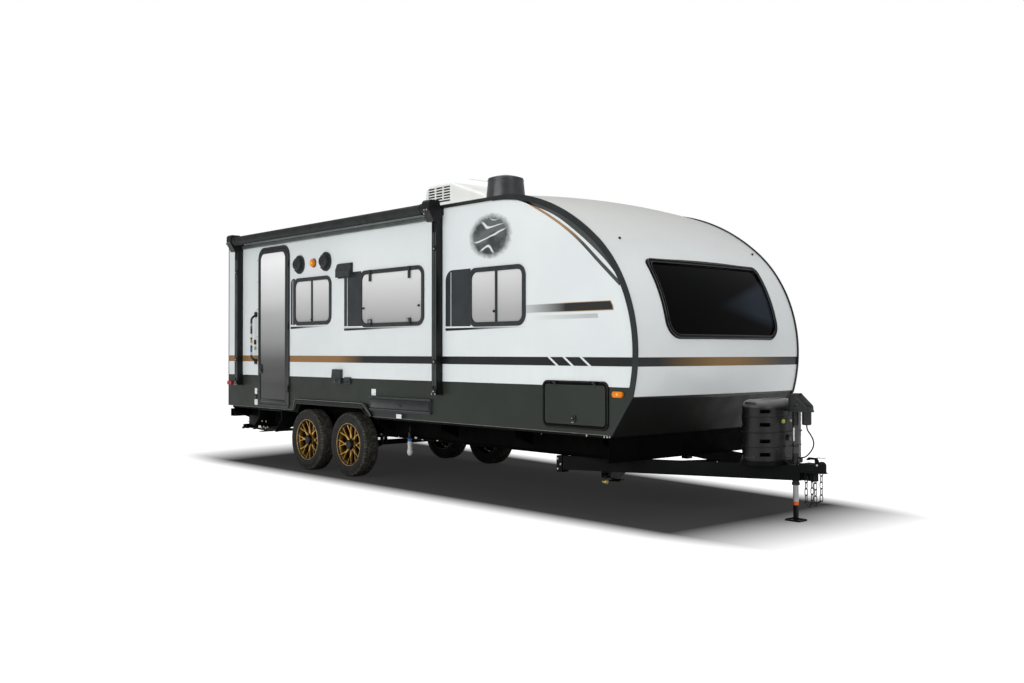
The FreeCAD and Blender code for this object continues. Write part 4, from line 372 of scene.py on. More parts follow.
def turned_copies(name, part, count, finish):
    """A plain mesh of a part repeated round the axle line, after which the part goes."""
    done = grown(name, bpy.data.meshes.new(name + "_ring"), ring_repeater, part, count, finish)
    bpy.data.objects.remove(part)
    return done


def tread_block(form, outline, width, slant):
    """A rubber block: an outline of offset and radius pairs, as wide as given along the tread."""
    sides = []
    for half in (-width / 2, width / 2):
        sides.append([form.verts.new((half + slant * offset, -offset, radius)) for offset, radius in outline])
    form.faces.new(sides[0])
    form.faces.new(sides[1][::-1])
    for step in range(len(outline)):
        form.faces.new((sides[0][step], sides[0][step - 1], sides[1][step - 1], sides[1][step]))


# Tyre rubber is a warm dark grey with a bloom of dust in the tread and on the sidewall
tyre_rubber = made_finish("tyre_rubber", shade(38, 39, 38), shade(48, 49, 47), (0.62, 0.8), patch=9.0, depth=0.0002,
                          gloss=0.12)
tread_rubber = made_finish("tread_rubber", shade(48, 48, 44), shade(84, 82, 76), (0.7, 0.9), patch=26.0,
                           grain=700.0, depth=0.0003, gloss=0.1)
base_radius = tread_radius - tread_depth
side_line = [(0.0781, 0.23), (0.0849, 0.2369), (0.0873, 0.2448), (0.0885, 0.2512), (0.0901, 0.2532),
             (0.0913, 0.2596), (0.0964, 0.2704), (0.1002, 0.2852), (0.1018, 0.304), (0.1025, 0.3055),
             (0.1025, 0.3081), (0.1017, 0.3094), (0.101, 0.3247), (0.0985, 0.3395), (0.094, 0.3533),
             (0.0872, 0.3627), (0.0781, base_radius - 0.0012), (0.0545, base_radius)]
tyre_line = [(radius, offset) for offset, radius in side_line]
tyre_line += [(radius, -offset) for radius, offset in reversed(tyre_line)] + tyre_line[:1]
carcass = shaped("tyre_carcass", [(lathe, tyre_line, 120, "-Y")], tyre_rubber, 30.0)

form = bmesh.new()
pitch = 2 * math.pi * tread_radius / lug_count
low = base_radius - 0.004
shoulder = [(0.0604, low), (0.0604, tread_radius - 0.0012), (0.0763, tread_radius - 0.0028),
            (0.0876, tread_radius - 0.0090), (0.0953, tread_radius - 0.0225),
            (0.0985, tread_radius - 0.0340), (0.0940, tread_radius - 0.0345), (0.0817, low)]
rib_edges = ((0.0222, 0.0536), (-0.0159, 0.0159), (-0.0536, -0.0222))
tread_block(form, shoulder, pitch * 0.74, 0.10)
tread_block(form, [(-offset, radius) for offset, radius in reversed(shoulder)], pitch * 0.74, 0.10)
for first, last in rib_edges:
    rib_top = tread_radius - 0.0004
    tread_block(form, [(first, low), (first, rib_top), (last, rib_top), (last, low)], pitch * 0.93,
                0.35 if first > 0 else -0.35)
bmesh.ops.bevel(form, geom=form.edges[:], offset=0.0009, segments=1, affect="EDGES")
tread_part = sealed("tread_part", form, tread_rubber, 30.0)
tread_mesh = turned_copies("tread", tread_part, lug_count, tread_rubber)

# The rim: a rolled lip, a dropped barrel and the spokes, which lean in towards the hub
bronze_paint = made_finish("bronze_paint", shade(142, 108, 44), shade(182, 144, 66), (0.22, 0.36), metal=0.85,
                           coat=0.2, patch=14.0, grain=1400.0, depth=0.00008)
# Painted shade with some brake dust: the rim's inner side, towards the caravan, turns near black.
inner_rim_shade = ramp(bronze_paint, sums(bronze_paint, "ABSOLUTE", axis_of(bronze_paint, "Y")), 1.085, 1.05)
over(bronze_paint, inner_rim_shade, shade(14, 13, 11))
cap_gloss = made_finish("cap_gloss", shade(5, 5, 6), shade(11, 11, 12), (0.34, 0.46), patch=40.0, depth=0.00005)
rim_line = [(0.252, 0.0817), (0.252, 0.0879), (0.2492, 0.0904), (0.2442, 0.0898), (0.24, 0.085),
            (0.2371, 0.076), (0.2295, 0.0665), (0.2227, 0.038), (0.2169, 0.0), (0.2148, -0.057),
            (0.2243, -0.0808), (0.2431, -0.0902), (0.2489, -0.0904), (0.252, -0.0817), (0.2389, -0.076),
            (0.2264, -0.0532), (0.2337, 0.0475), (0.2431, 0.076), (0.252, 0.0817)]
barrel = shaped("rim_barrel", [
    (lathe, rim_line, 96, "-Y"),
    (lathe, [(0, -0.012), (0.078, -0.012), (0.080, 0.040), (0.0765, 0.0475), (0.070, 0.0500), (0, 0.0500)], 48, "-Y"),
], bronze_paint)


def spoke_bar(form, root, tip, root_width, tip_width, root_face, tip_face, depth):
    """One straight limb of a spoke between two points across and out from the hub."""
    along = Vector((tip[0] - root[0], 0, tip[1] - root[1])).normalized()
    across = Vector((along.z, 0, -along.x))
    verts = []
    for (u, v), width, face in ((root, root_width, root_face), (tip, tip_width, tip_face)):
        for half in (-width / 2, width / 2):
            for level in (face - depth, face):
                shrink = 1.0 if level < face else 0.72
                spot = Vector((u, 0, v)) + across * half * shrink
                verts.append(form.verts.new((spot.x, -level, spot.z)))
    faces = [(0, 1, 3, 2), (4, 6, 7, 5), (0, 4, 5, 1), (2, 3, 7, 6), (1, 5, 7, 3), (0, 2, 6, 4)]
    made = [form.faces.new([verts[i] for i in loop]) for loop in faces]
    edges = list({edge for made_face in made for edge in made_face.edges})
    bmesh.ops.bevel(form, geom=edges, offset=0.0022, segments=2, affect="EDGES", profile=0.6)


form = bmesh.new()
spoke_bar(form, (0, 0.060), (0, 0.152), 0.046, 0.030, 0.050, 0.060, 0.026)
for side in (-1, 1):
    spoke_bar(form, (side * 0.006, 0.138), (side * 0.042, 0.2310), 0.020, 0.0165, 0.0590, 0.0780, 0.022)
spoke_part = sealed("spoke_part", form, bronze_paint, 35.0)
spoke_mesh = turned_copies("spokes", spoke_part, 8, bronze_paint)

nut_part = shaped("nut_part", [
    (lathe, [(0, 0.046), (0.0105, 0.046), (0.0105, 0.0620), (0.0085, 0.0650), (0, 0.0650)], 6, "-Y", (0, 0, 0.0620)),
], cap_gloss, 25.0)
nut_mesh = turned_copies("wheel_nuts", nut_part, 6, cap_gloss)
cap = shaped("hub_cap", [
    (lathe, [(0.0590, 0.047), (0.0590, 0.0550), (0.0560, 0.0580), (0.0545, 0.0800), (0.0500, 0.0865),
     (0.0360, 0.0885), (0.0335, 0.0860), (0, 0.0862)], 48, "-Y"),
], cap_gloss, 30.0)
valve = shaped("valve_stem", [
    (lathe, [(0, 0.05), (0.0048, 0.05), (0.0048, 0.078), (0.0036, 0.080), (0.0036, 0.090), (0, 0.090)], 12, "-Y",
     (0, 0, -0.2085)),
], tyre_rubber, 30.0)


def joined(name, meshes, finishes):
    """One object from several meshes, each keeping its own finish."""
    form = bmesh.new()
    done = bpy.data.meshes.new(name)
    for row, mesh in enumerate(meshes):
        first = len(form.faces)
        form.from_mesh(mesh)
        form.faces.ensure_lookup_table()
        for made_face in form.faces[first:]:
            made_face.material_index = row
            made_face.smooth = True
    form.to_mesh(done)
    form.free()
    for finish in finishes:
        done.materials.append(finish)
    done.set_sharp_from_angle(angle=math.radians(32))
    piece = bpy.data.objects.new(name, done)
    scene.collection.objects.link(piece)
    return piece


for wheel, (along, side) in wheel_places.items():
    spot = Matrix.Translation((along, side * wheel_out, tread_radius))
    if side > 0:
        spot = spot @ Matrix.Rotation(math.pi, 4, "Z")
    corner = wheel.replace("wheel_", "")
    tyre = joined("tyre_cover_" + corner, [carcass.data, tread_mesh], [tyre_rubber, tread_rubber])
    rim = joined("cast_rim_" + corner, [barrel.data, spoke_mesh], [bronze_paint, bronze_paint])
    hub = joined("hub_parts_" + corner, [cap.data, nut_mesh, valve.data], [cap_gloss, cap_gloss, tyre_rubber])
    for piece, slot_name in ((tyre, "tyre"), (rim, "rim_bronze"), (hub, "trim_black")):
        piece.data.transform(spot)
        fitted(piece, wheel)
    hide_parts("tyre_" + corner)
    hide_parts("rim_" + corner)

# Round back plates close the drums behind the spokes, and stay still while the wheels turn.
# They reach out to the rim in near black: backing plates, and painted shade behind the spokes.
plate_black = made_finish("plate_black", shade(9, 9, 9), shade(16, 15, 14), (0.6, 0.8), patch=24.0, grain=500.0,
                          depth=0.0003, gloss=0.05)
form = bmesh.new()
for along, side in wheel_places.values():
    lathe(form, [(0, 0.030), (0.110, 0.030), (0.150, 0.020), (0.206, 0.016), (0.214, 0.008), (0.210, 0.0), (0, 0.0)],
          48, "Y" if side < 0 else "-Y", (along, side * (wheel_out + 0.006), tread_radius))
fitted(sealed("drum_back_plates", form, plate_black, 35.0), "caravan")

# The spare lies flat in its carrier under the tail: the same tyre on a plain steel wheel
spare_centre = (-7.55, 0, 0.507)
spare_radius, spare_width, tyre_width = 0.34, 0.185, 0.205
spare_size = Matrix.Diagonal((spare_radius / tread_radius, spare_width / tyre_width, spare_radius / tread_radius, 1))
spare = joined("spare_tyre", [carcass.data, tread_mesh], [tyre_rubber, tread_rubber])
spare.data.transform(Matrix.Translation(spare_centre) @ Matrix.Rotation(math.pi / 2, 4, "X") @ spare_size)
fitted(spare, "caravan")
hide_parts("spare_wheel")
spare_steel = made_finish("spare_steel", shade(150, 150, 148), shade(176, 176, 172), (0.35, 0.5), metal=0.4,
                          patch=18.0, grain=500.0, depth=0.0003)
built("spare_wheel_disc", [
    (lathe, [(0.222, 0.076), (0.216, 0.080), (0.205, 0.070), (0.196, 0.020), (0.150, 0.004), (0.090, 0.012),
     (0.060, 0.030), (0.030, 0.030), (0.030, 0.022), (0.056, 0.022), (0.088, 0.004), (0.150, -0.004),
     (0.192, 0.010), (0.196, -0.060), (0.216, -0.076), (0.222, -0.072), (0.222, 0.076)], 64, "-Z", spare_centre),
], spare_steel, "caravan")
for used in (carcass, barrel, cap, valve):
    bpy.data.objects.remove(used)


# Floor and wheel wells: a black woven underbelly sheet closes the floor, and pressed steel
# boxes with a rough stone-chip coating stand over each pair of wheels.
belly_sheet = made_finish("belly_sheet", shade(12, 12, 12), shade(18, 18, 17), (0.6, 0.8), patch=6.0, grain=260.0,
                          depth=0.0008, gloss=0.1)
well_coat = made_finish("well_coat", shade(8, 8, 8), shade(14, 14, 13), (0.7, 0.9), patch=18.0, grain=420.0,
                        depth=0.0012, gloss=0.05)
dress(belly_sheet, "trim_black", "floor")
dress(well_coat, "frame_black", "wheel_wells")


# Walls, roof and nose: laminated panels with a white gel coat. The faces are very slightly
# wavy, so that reflections drift, and rain leaves a faint bloom above the lower band. Below
# the band's top the panels are dark, so the arches' returns are no lighter than the band.
def gel_coat(name, dark, light, wave=0.0016):
    """Gel coat over a laminated panel: long waves, a fine skin and a clear gloss."""
    finish = made_finish(name, dark, light, (0.30, 0.42), coat=0.35, patch=0.9, grain=1500.0, depth=0.00006)
    face = finish.node_tree.nodes["Principled BSDF"]
    fine = face.inputs["Normal"].links[0].from_node
    long_wave = linked(finish, "ShaderNodeBump", cloud(finish, 2.2, 2.0), "Height", Distance=wave, Strength=0.6)
    finish.node_tree.links.new(long_wave.outputs[0], fine.inputs["Normal"])
    return finish


wall_coat = gel_coat("wall_coat", shade(222, 228, 229), shade(230, 235, 236))
height = axis_of(wall_coat, "Z")
bloom = ramp(wall_coat, cloud(wall_coat, 6.0, 5.0, (3.0, 3.0, 0.25)), 0.45, 0.8)
streak = sums(wall_coat, "MULTIPLY", ramp(wall_coat, height, 1.75, 1.16), bloom)
over(wall_coat, sums(wall_coat, "MULTIPLY", streak, 0.10), shade(190, 192, 188))
over(wall_coat, sums(wall_coat, "LESS_THAN", height, 1.150), shade(40, 46, 40))
nose_coat = gel_coat("nose_coat", shade(220, 225, 226), shade(229, 233, 233), 0.0022)
# Painted shade: the nose turns grey towards its top, over the brow.
over(nose_coat, ramp(nose_coat, axis_of(nose_coat, "Z"), 2.25, 2.90), shade(201, 202, 199))
dress(wall_coat, "shell_white", "curb_wall", "road_wall", "rear_wall")
dress(nose_coat, "shell_white", "front_cap")
roof_skin = made_finish("roof_skin", shade(205, 206, 200), shade(216, 217, 211), (0.5, 0.7), patch=1.6, grain=700.0,
                        depth=0.0004)
dust(roof_skin, shade(196, 194, 186), 0.25, 5.0)
dress(roof_skin, "roof_white", "roof_shell")
skirt_panel = made_finish("skirt_panel", shade(9, 10, 9), shade(14, 15, 12), (0.5, 0.62), patch=1.2, depth=0.00001)
dress(skirt_panel, "skirt_black", "front_skirt")


# Lower side bands and stripes: thin vinyl and sheet skins laid on the walls. The lower band
# is dark olive grey, and the stripe runs bronze at the rear and charcoal towards the nose.
# A dark strip closes each wall at its rear corner.
half_width = 1.195
hands = ((-1, "curb"), (1, "road"))


def cut_back(form, cuts):
    """Keeps what lies behind each plane."""
    for spot, way in cuts:
        everything = form.verts[:] + form.edges[:] + form.faces[:]
        bmesh.ops.bisect_plane(form, geom=everything, plane_co=spot, plane_no=way, clear_outer=True)


def raised_copy(form, faces):
    """Closes a sheet with a second face over it, and gives that face's corners."""
    raised = bmesh.ops.extrude_face_region(form, geom=faces)
    return [part for part in raised["geom"] if isinstance(part, bmesh.types.BMVert)]


def wall_skin(name, side, cuts, finish, lift):
    """A thin skin over the outer face of a wall, cut by planes, with the wall's own openings."""
    form = bmesh.new()
    form.from_mesh(solids["curb_wall" if side < 0 else "road_wall"].data)
    bmesh.ops.remove_doubles(form, verts=form.verts, dist=1e-5)
    inner = [f for f in form.faces
             if f.normal.y * side < 0.99 or f.calc_center_median().y * side < half_width - 0.001]
    bmesh.ops.delete(form, geom=inner, context="FACES")
    cut_back(form, cuts)
    bmesh.ops.dissolve_limit(form, angle_limit=0.02, verts=form.verts, edges=form.edges)
    bmesh.ops.triangulate(form, faces=form.faces)
    bmesh.ops.translate(form, verts=raised_copy(form, form.faces[:]), vec=(0, side * lift, 0))
    fitted(sealed(name, form, finish, 0), "caravan")


def above(z):
    """The cut that keeps what is above a height."""
    return ((0, 0, z), (0, 0, -1))


def below(z):
    """The cut that keeps what is below a height."""
    return ((0, 0, z), (0, 0, 1))


def behind(x):
    """The cut that keeps what is behind a place along."""
    return ((x, 0, 0), (1, 0, 0))


def ahead_of(x):
    """The cut that keeps what is ahead of a place along."""
    return ((x, 0, 0), (-1, 0, 0))


def film(name, dark, light, rough=(0.3, 0.42), coat=0.15, patch=5.0):
    """Printed vinyl film, smooth and a little glossy."""
    return made_finish(name, dark, light, rough, coat=coat, patch=patch, grain=1200.0, depth=0.00006)


band_top = 1.156
stripe_low = 1.336
stripe_high = 1.415
band_finish = made_finish("band_olive", shade(34, 40, 34), shade(40, 46, 40), (0.38, 0.5), patch=1.4)
bronze = shade(142, 106, 62)
charcoal = shade(18, 22, 23)
stripe_finish = film("stripe_vinyl", charcoal, shade(22, 27, 28), (0.32, 0.42), 0.1, 3.0)
over(stripe_finish, ramp(stripe_finish, axis_of(stripe_finish, "X"), -4.90, -5.45), bronze)
slashes = ((-1.863, -1.748), (-1.677, -1.551), (-1.469, -1.334))
slash_width = 0.036
rear_edge_x = -8.214
rear_edge_finish = made_finish("rear_edge", shade(30, 33, 33), shade(42, 46, 46), (0.4, 0.55), patch=6.0,
                               grain=700.0)
lean = Vector((stripe_high - stripe_low, 0, slashes[0][1] - slashes[0][0])).normalized()
for side, hand in hands:
    wall_skin(f"lower_band_{hand}", side, [below(band_top)], band_finish, 0.0009)
    for count, (start, end) in enumerate(zip((None, *slashes), (*slashes, None))):
        cuts = [above(stripe_low), below(stripe_high)]
        if start:
            cuts.append(((start[1] + slash_width, 0, stripe_low), (-lean.x, 0, -lean.z)))
        if end:
            cuts.append(((end[1], 0, stripe_low), (lean.x, 0, lean.z)))
        wall_skin(f"stripe_{hand}_{count}", side, cuts, stripe_finish, 0.0012)
    wall_skin(f"rear_edge_{hand}", side, [behind(rear_edge_x)], rear_edge_finish, 0.0016)


# Wall foot trim and mouldings: a thin pale aluminium lip closes the foot of each side wall.
# A dark vinyl-filled moulding runs over the brow and down the nose, and a drip rail over the top.
foot_lip = made_finish("foot_lip", shade(92, 95, 91), shade(118, 121, 117), (0.3, 0.45), metal=0.3, patch=9.0,
                       grain=800.0, depth=0.00008)
moulding_black = made_finish("moulding_black", shade(26, 31, 31), shade(35, 40, 40), (0.36, 0.5), coat=0.15,
                             patch=7.0, grain=1100.0, depth=0.00012)
dress(moulding_black, "trim_black", "edge_mouldings")
foot_lip_cuts = [below(0.7352), ahead_of(-8.226), behind(-1.10)]
for side, hand in hands:
    wall_skin(f"foot_lip_{hand}", side, foot_lip_cuts, foot_lip, 0.0026)


# Nose stripe: the side stripe goes on round the nose cap, bowed with it. The printed film
# turns from charcoal at both edges to bronze in the middle.
nose_film = film("nose_film", charcoal, shade(24, 29, 29), (0.3, 0.4), patch=3.0)
across = axis_of(nose_film, "Y")
near_fade = ramp(nose_film, across, -0.95, -0.18)
far_fade = ramp(nose_film, across, 0.95, 0.15)
over(nose_film, sums(nose_film, "MULTIPLY", near_fade, far_fade), shade(130, 98, 54))


def nose_sheet(name, low_z, high_z, finish, lift):
    """A thin film over the outer face of the nose between two heights."""
    form = bmesh.new()
    form.from_mesh(solids["front_cap"].data)
    bmesh.ops.remove_doubles(form, verts=form.verts, dist=1e-5)
    cut_back(form, (above(low_z), below(high_z)))
    inner = [f for f in form.faces if f.normal.x < 0.55]
    bmesh.ops.delete(form, geom=inner, context="FACES")
    form.normal_update()
    ways = {v: v.normal.copy() for v in form.verts}
    for vert in raised_copy(form, form.faces[:]):
        nearest = min(ways, key=lambda v: (v.co - vert.co).length_squared)
        vert.co += ways[nearest] * lift
    fitted(sealed(name, form, finish, 25.0), "caravan")


nose_sheet("nose_stripe", stripe_low, stripe_high, nose_film, 0.0012)
nose_sheet("nose_foot_line", 1.054, 1.078, moulding_black, 0.0022)


# Corner graphics: a dark crescent fills the corner under the brow moulding on each side, and
# a thin band runs below it, tan at the top and dark grey further down.
def wall_sheet(name, side, outlines, finish, lift=0.0012):
    """Thin film shapes on one side wall, each given by its corners along and up."""
    form = bmesh.new()
    for outline in outlines:
        sheet = form.faces.new([form.verts.new((x, side * (half_width + 0.0002), z)) for x, z in outline])
        bmesh.ops.translate(form, verts=raised_copy(form, [sheet]), vec=(0, side * lift, 0))
    bmesh.ops.triangulate(form, faces=form.faces)
    fitted(sealed(name, form, finish, 0), "caravan")


def smooth_line(points, steps=8):
    """More points along a curve that runs through the given ones."""
    spots = [points[0]] + list(points) + [points[-1]]
    line = []
    for count in range(1, len(spots) - 2):
        a, b, c, d = [Vector(spot) for spot in spots[count - 1:count + 3]]
        for step in range(steps):
            t = step / steps
            line.append(tuple(0.5 * ((2 * b) + (c - a) * t + (2 * a - 5 * b + 4 * c - d) * t * t
                                     + (3 * b - a - 3 * c + d) * t ** 3)))
    line.append(tuple(points[-1]))
    return line


# The side wall's outline runs over two arcs: the nose's and the brow's
nose_centre = Vector((-2.093, 1.456))
nose_reach = 1.33
brow_centre = Vector((-2.639, 0.805))
brow_reach = 2.18
moulding_width = 0.040


def along_arc(centre, reach, first, last, steps=14):
    """Points along an arc of the side wall's outline, between two turns in degrees."""
    turns = [math.radians(first + (last - first) * step / steps) for step in range(steps + 1)]
    return [(centre.x + reach * math.cos(turn), centre.y + reach * math.sin(turn)) for turn in turns]


crescent_inner = smooth_line([(-2.264, 2.908), (-1.814, 2.741), (-1.484, 2.541), (-1.17, 2.300), (-0.998, 2.13)])
crescent_outer = (along_arc(nose_centre, nose_reach - moulding_width, 30.6, 50.0)
                  + along_arc(brow_centre, brow_reach - moulding_width, 50.0, 79.6))
crescent_film = film("crescent_film", shade(62, 66, 65), shade(72, 77, 76), (0.34, 0.46), 0.1, 3.0)
band_upper = smooth_line([(-2.262, 2.951), (-1.814, 2.719), (-1.484, 2.511), (-1.17, 2.25), (-0.952, 2.066)])
band_lower = smooth_line([(-2.290, 2.938), (-1.827, 2.700), (-1.503, 2.489), (-1.194, 2.226), (-0.962, 2.030)])
band_film = film("corner_band_film", shade(62, 66, 65), shade(72, 77, 76), (0.34, 0.46), 0.1, 3.0)
over(band_film, ramp(band_film, axis_of(band_film, "Z"), 2.42, 2.62), shade(166, 132, 96))
for side, hand in hands:
    wall_sheet(f"corner_crescent_{hand}", side, [crescent_inner + crescent_outer], crescent_film)
    wall_sheet(f"corner_band_{hand}", side, [band_upper + band_lower[::-1]], band_film)


# Side windows: tinted glass in black powder-coated frames that clamp through the wall, with a
# painted reflection of the sky: grey, lighter towards the top. Two slide at a middle bar, and
# the large ones swing out at their foot.
frame_coat = made_finish("window_coat", shade(36, 40, 41), shade(46, 50, 51), (0.34, 0.46), coat=0.2, patch=12.0,
                         depth=0.00012)
dress(frame_coat, "trim_black", "window_frames")
window_glass_painted_reflection = made_finish("window_glass_painted_reflection", shade(168, 168, 168), shade(174, 174, 174), (0.10, 0.16), coat=0.3,
                          patch=0.8, grain=40.0, depth=0.00002)
# Painted reflection: the panes lighten towards their top.
over(window_glass_painted_reflection, ramp(window_glass_painted_reflection, axis_of(window_glass_painted_reflection, "Z"), 1.82, 2.36), shade(232, 232, 233))
dress(window_glass_painted_reflection, "glass_mirror", "window_panes")


def rounded(x0, x1, z0, z1, radii, steps=6):
    """A rectangle's outline, each corner rounded by its own radius: low left, low right, top right, top left."""
    line = []
    spots = ((x0, z0, 1, 1, 180), (x1, z0, -1, 1, 270), (x1, z1, -1, -1, 0), (x0, z1, 1, -1, 90))
    for (x, z, way_x, way_z, first), radius in zip(spots, radii):
        for step in range(steps + 1 if radius else 1):
            turn = math.radians(first + 90 * step / steps)
            line.append((x + radius * (way_x + math.cos(turn)), z + radius * (way_z + math.sin(turn))))
    return line


# Window graphics: black film carries each window's shape rearwards, with a light pinstripe.
# Thin white and black lines underline the windows, and the black ones fade away forwards.
panel_film = film("panel_film", shade(40, 45, 49), shade(47, 52, 56), (0.28, 0.4), 0.2, 4.0)
line_film = film("line_film", shade(196, 200, 200), shade(208, 212, 212), (0.3, 0.4), 0.2, 9.0)
white_film = film("white_film", shade(232, 236, 237), shade(238, 241, 242), (0.3, 0.4), 0.2, 9.0)


def fading_film(name, tone, start_x, end_x, rest):
    """A printed film that fades along the wall from one tone to another."""
    finish = film(name, tone, tone)
    over(finish, ramp(finish, axis_of(finish, "X"), start_x, end_x), rest)
    return finish


wall_tone = shade(226, 231, 232)
pinstripe_half = 0.0048
# One row a window: panel from, to, foot, top, pinstripe, white line end and height, black line end and height
graphics = {
    "rear": (-6.540, -6.440, 1.790, 2.377, -6.490, -6.364, 1.793, -5.619, 1.765, (0.03, 0, 0, 0.06)),
    "mid": (-5.309, -4.950, 1.742, 2.388, -5.240, -4.873, 1.753, -3.75, 1.724, (0.0, 0, 0, 0.0)),
    "front": (-3.386, -2.980, 1.720, 2.300, -3.296, -2.964, 1.7165, -2.10, 1.693, (0.0, 0, 0, 0.11))}
for name, (x0, x1, z0, z1, pin, white_x, white_z, black_x, black_z, radii) in graphics.items():
    wall_sheet(f"window_panel_{name}", -1, [rounded(x0, x1, z0, z1, radii)], panel_film, 0.0010)
    stripe = rounded(pin - pinstripe_half, pin + pinstripe_half, z0 + 0.004, z1 - 0.02, (0, 0, 0, 0))
    wall_sheet(f"window_pinstripe_{name}", -1, [stripe], line_film, 0.0020)
    white_line = [(x0 - 0.002, white_z - 0.007), (white_x, white_z - 0.010), (white_x, white_z + 0.002),
                  (x0 - 0.002, white_z + 0.007)]
    wall_sheet(f"window_white_line_{name}", -1, [white_line], white_film, 0.0026)
    fade = fading_film(f"underline_film_{name}", shade(24, 27, 28), white_x, black_x, wall_tone)
    black_line = [(x0, black_z - 0.011), (x0 + 0.012, black_z - 0.015), (black_x, black_z + 0.004),
                  (black_x, black_z + 0.010), (x0, black_z + 0.012)]
    wall_sheet(f"window_underline_{name}", -1, [black_line], fade, 0.0016)

# The bar ahead of the front window, edged with bronze, and the fainter grey bar below it
bar_edge = fading_film("bar_edge_film", wall_tone, -2.0, -1.5, shade(188, 158, 124))
bar_film = fading_film("bar_film", shade(190, 194, 194), -2.12, -1.62, shade(38, 38, 36))
faint_film = fading_film("faint_bar_film", wall_tone, -2.1, -1.35, shade(186, 190, 190))
wall_sheet("bar_edge", -1, [[(-2.155, 1.8235), (-1.030, 1.8235), (-1.036, 1.862), (-1.066, 1.910), (-2.155, 1.910)]],
           bar_edge, 0.0010)
wall_sheet("bar_front", -1, [[(-2.155, 1.830), (-1.040, 1.830), (-1.046, 1.862), (-1.072, 1.904), (-2.155, 1.904)]],
           bar_film, 0.0018)
wall_sheet("bar_faint", -1, [[(-2.14, 1.762), (-1.215, 1.762), (-1.225, 1.800), (-2.14, 1.800)]], faint_film,
           0.0014)

# A soft-edged oval of rolling contour lines, printed in greys on the wall ahead of the awning
oval_film = film("oval_film", wall_tone, wall_tone)
oval_x, oval_z, oval_w, oval_h = -2.677, 2.600, 0.335, 0.232
dx = sums(oval_film, "DIVIDE", sums(oval_film, "ADD", axis_of(oval_film, "X"), -oval_x), oval_w)
dz = sums(oval_film, "DIVIDE", sums(oval_film, "ADD", axis_of(oval_film, "Z"), -oval_z), oval_h)
squared = sums(oval_film, "ADD", sums(oval_film, "MULTIPLY", dx, dx), sums(oval_film, "MULTIPLY", dz, dz))
reach = sums(oval_film, "SQRT", squared)
ragged = sums(oval_film, "ADD", reach, ramp(oval_film, cloud(oval_film, 22.0, 3.0), 0.3, 0.7, -0.04, 0.04))
tone = mixed(oval_film, ramp(oval_film, cloud(oval_film, 7.0, 3.0), 0.4, 0.6), shade(96, 102, 103), shade(58, 63, 64))
over(oval_film, ramp(oval_film, ragged, 1.0, 0.74), tone)
swell = ramp(oval_film, cloud(oval_film, 3.6, 0.5), 0.2, 0.8, -1.6, 1.6)
hills = sums(oval_film, "ADD", sums(oval_film, "MULTIPLY", dz, 3.2), swell)
wave = sums(oval_film, "ABSOLUTE", sums(oval_film, "SINE", sums(oval_film, "MULTIPLY", hills, 2.1)))
line_share = sums(oval_film, "MULTIPLY", ramp(oval_film, wave, 0.40, 0.10), ramp(oval_film, ragged, 0.80, 0.62))
over(oval_film, line_share, shade(228, 232, 232))
oval_turns = [2 * math.pi * k / 48 for k in range(48)]
oval_line = [(oval_x + oval_w * math.cos(turn), oval_z + oval_h * math.sin(turn)) for turn in oval_turns]
wall_sheet("oval_print", -1, [oval_line], oval_film, 0.0008)


# Window hardware: bright knobs at the foot of each large pane, small black pulls at its
# sides, and black catches at the middle bars of the sliding windows.
satin_chrome = made_finish("satin_chrome", shade(150, 152, 154), shade(186, 188, 190), (0.16, 0.3), metal=0.95,
                           patch=40.0, depth=0.00005)
small_black = made_finish("small_black", shade(24, 25, 26), shade(34, 35, 36), (0.3, 0.42), coat=0.2, patch=40.0)
knob_ring = shaped("knob_ring", [
    (lathe, [(0, 0), (0.020, 0), (0.020, 0.006), (0.0175, 0.010), (0.0125, 0.010), (0.0115, 0.007), (0, 0.007)], 24),
], satin_chrome, 30.0)
pull_part = shaped("pull_part", [
    (lathe, [(0, 0), (0.0125, 0), (0.0135, 0.010), (0.011, 0.016), (0, 0.0175)], 20),
], small_black, 30.0)
knobs, pulls = [], []
for side, rear_end, front_end in ((-1, -4.975, -3.750), (1, -4.700, -3.475)):
    knobs += outward(side, 1.2212, [(rear_end + 0.235, 1.806), (front_end - 0.265, 1.806)])
    pulls += outward(side, 1.2015, [(rear_end + 0.085, 1.958), (front_end - 0.085, 1.958)])
pulls += outward(-1, 1.2030, [(-6.016, 1.86), (-2.605, 1.86)])
set_parts("window_knobs", knob_ring, knobs, satin_chrome)
set_parts("window_pulls", pull_part, pulls, small_black)


# Front window: dark curved glass in a raised black frame, held by a rubber bead painted grey
# for the line of light it catches: a painted highlight. The glass is smooth and slightly
# rippled, with a faint wedge of glare painted on it: a painted reflection.
gloss_black = made_finish("gloss_black", shade(10, 11, 12), shade(14, 15, 16), (0.16, 0.26), coat=0.2, patch=2.0,
                          grain=200.0, depth=0.00004)
dark_glass = made_finish("dark_glass", shade(2, 3, 3), shade(4, 4, 5), (0.05, 0.09), patch=1.0, grain=3.0,
                         depth=0.0006, gloss=0.05)
across = axis_of(dark_glass, "Y")
height = axis_of(dark_glass, "Z")
low_line = sums(dark_glass, "ADD", height, sums(dark_glass, "MULTIPLY", across, 0.205))
high_line = sums(dark_glass, "SUBTRACT", height, sums(dark_glass, "MULTIPLY", across, 0.30))
# Painted reflection: a faint blue-grey wedge of glare across the glass, towards the road side.
painted_glare = sums(dark_glass, "MULTIPLY", ramp(dark_glass, low_line, 1.83, 1.93), ramp(dark_glass, high_line, 1.93, 1.86))
painted_glare = sums(dark_glass, "MULTIPLY", painted_glare, ramp(dark_glass, across, -0.12, 0.50))
over(dark_glass, sums(dark_glass, "MULTIPLY", painted_glare, 0.9), shade(38, 46, 55))
dress(gloss_black, "trim_black", "front_window_frame")
dress(dark_glass, "glass_dark", "front_window_pane")
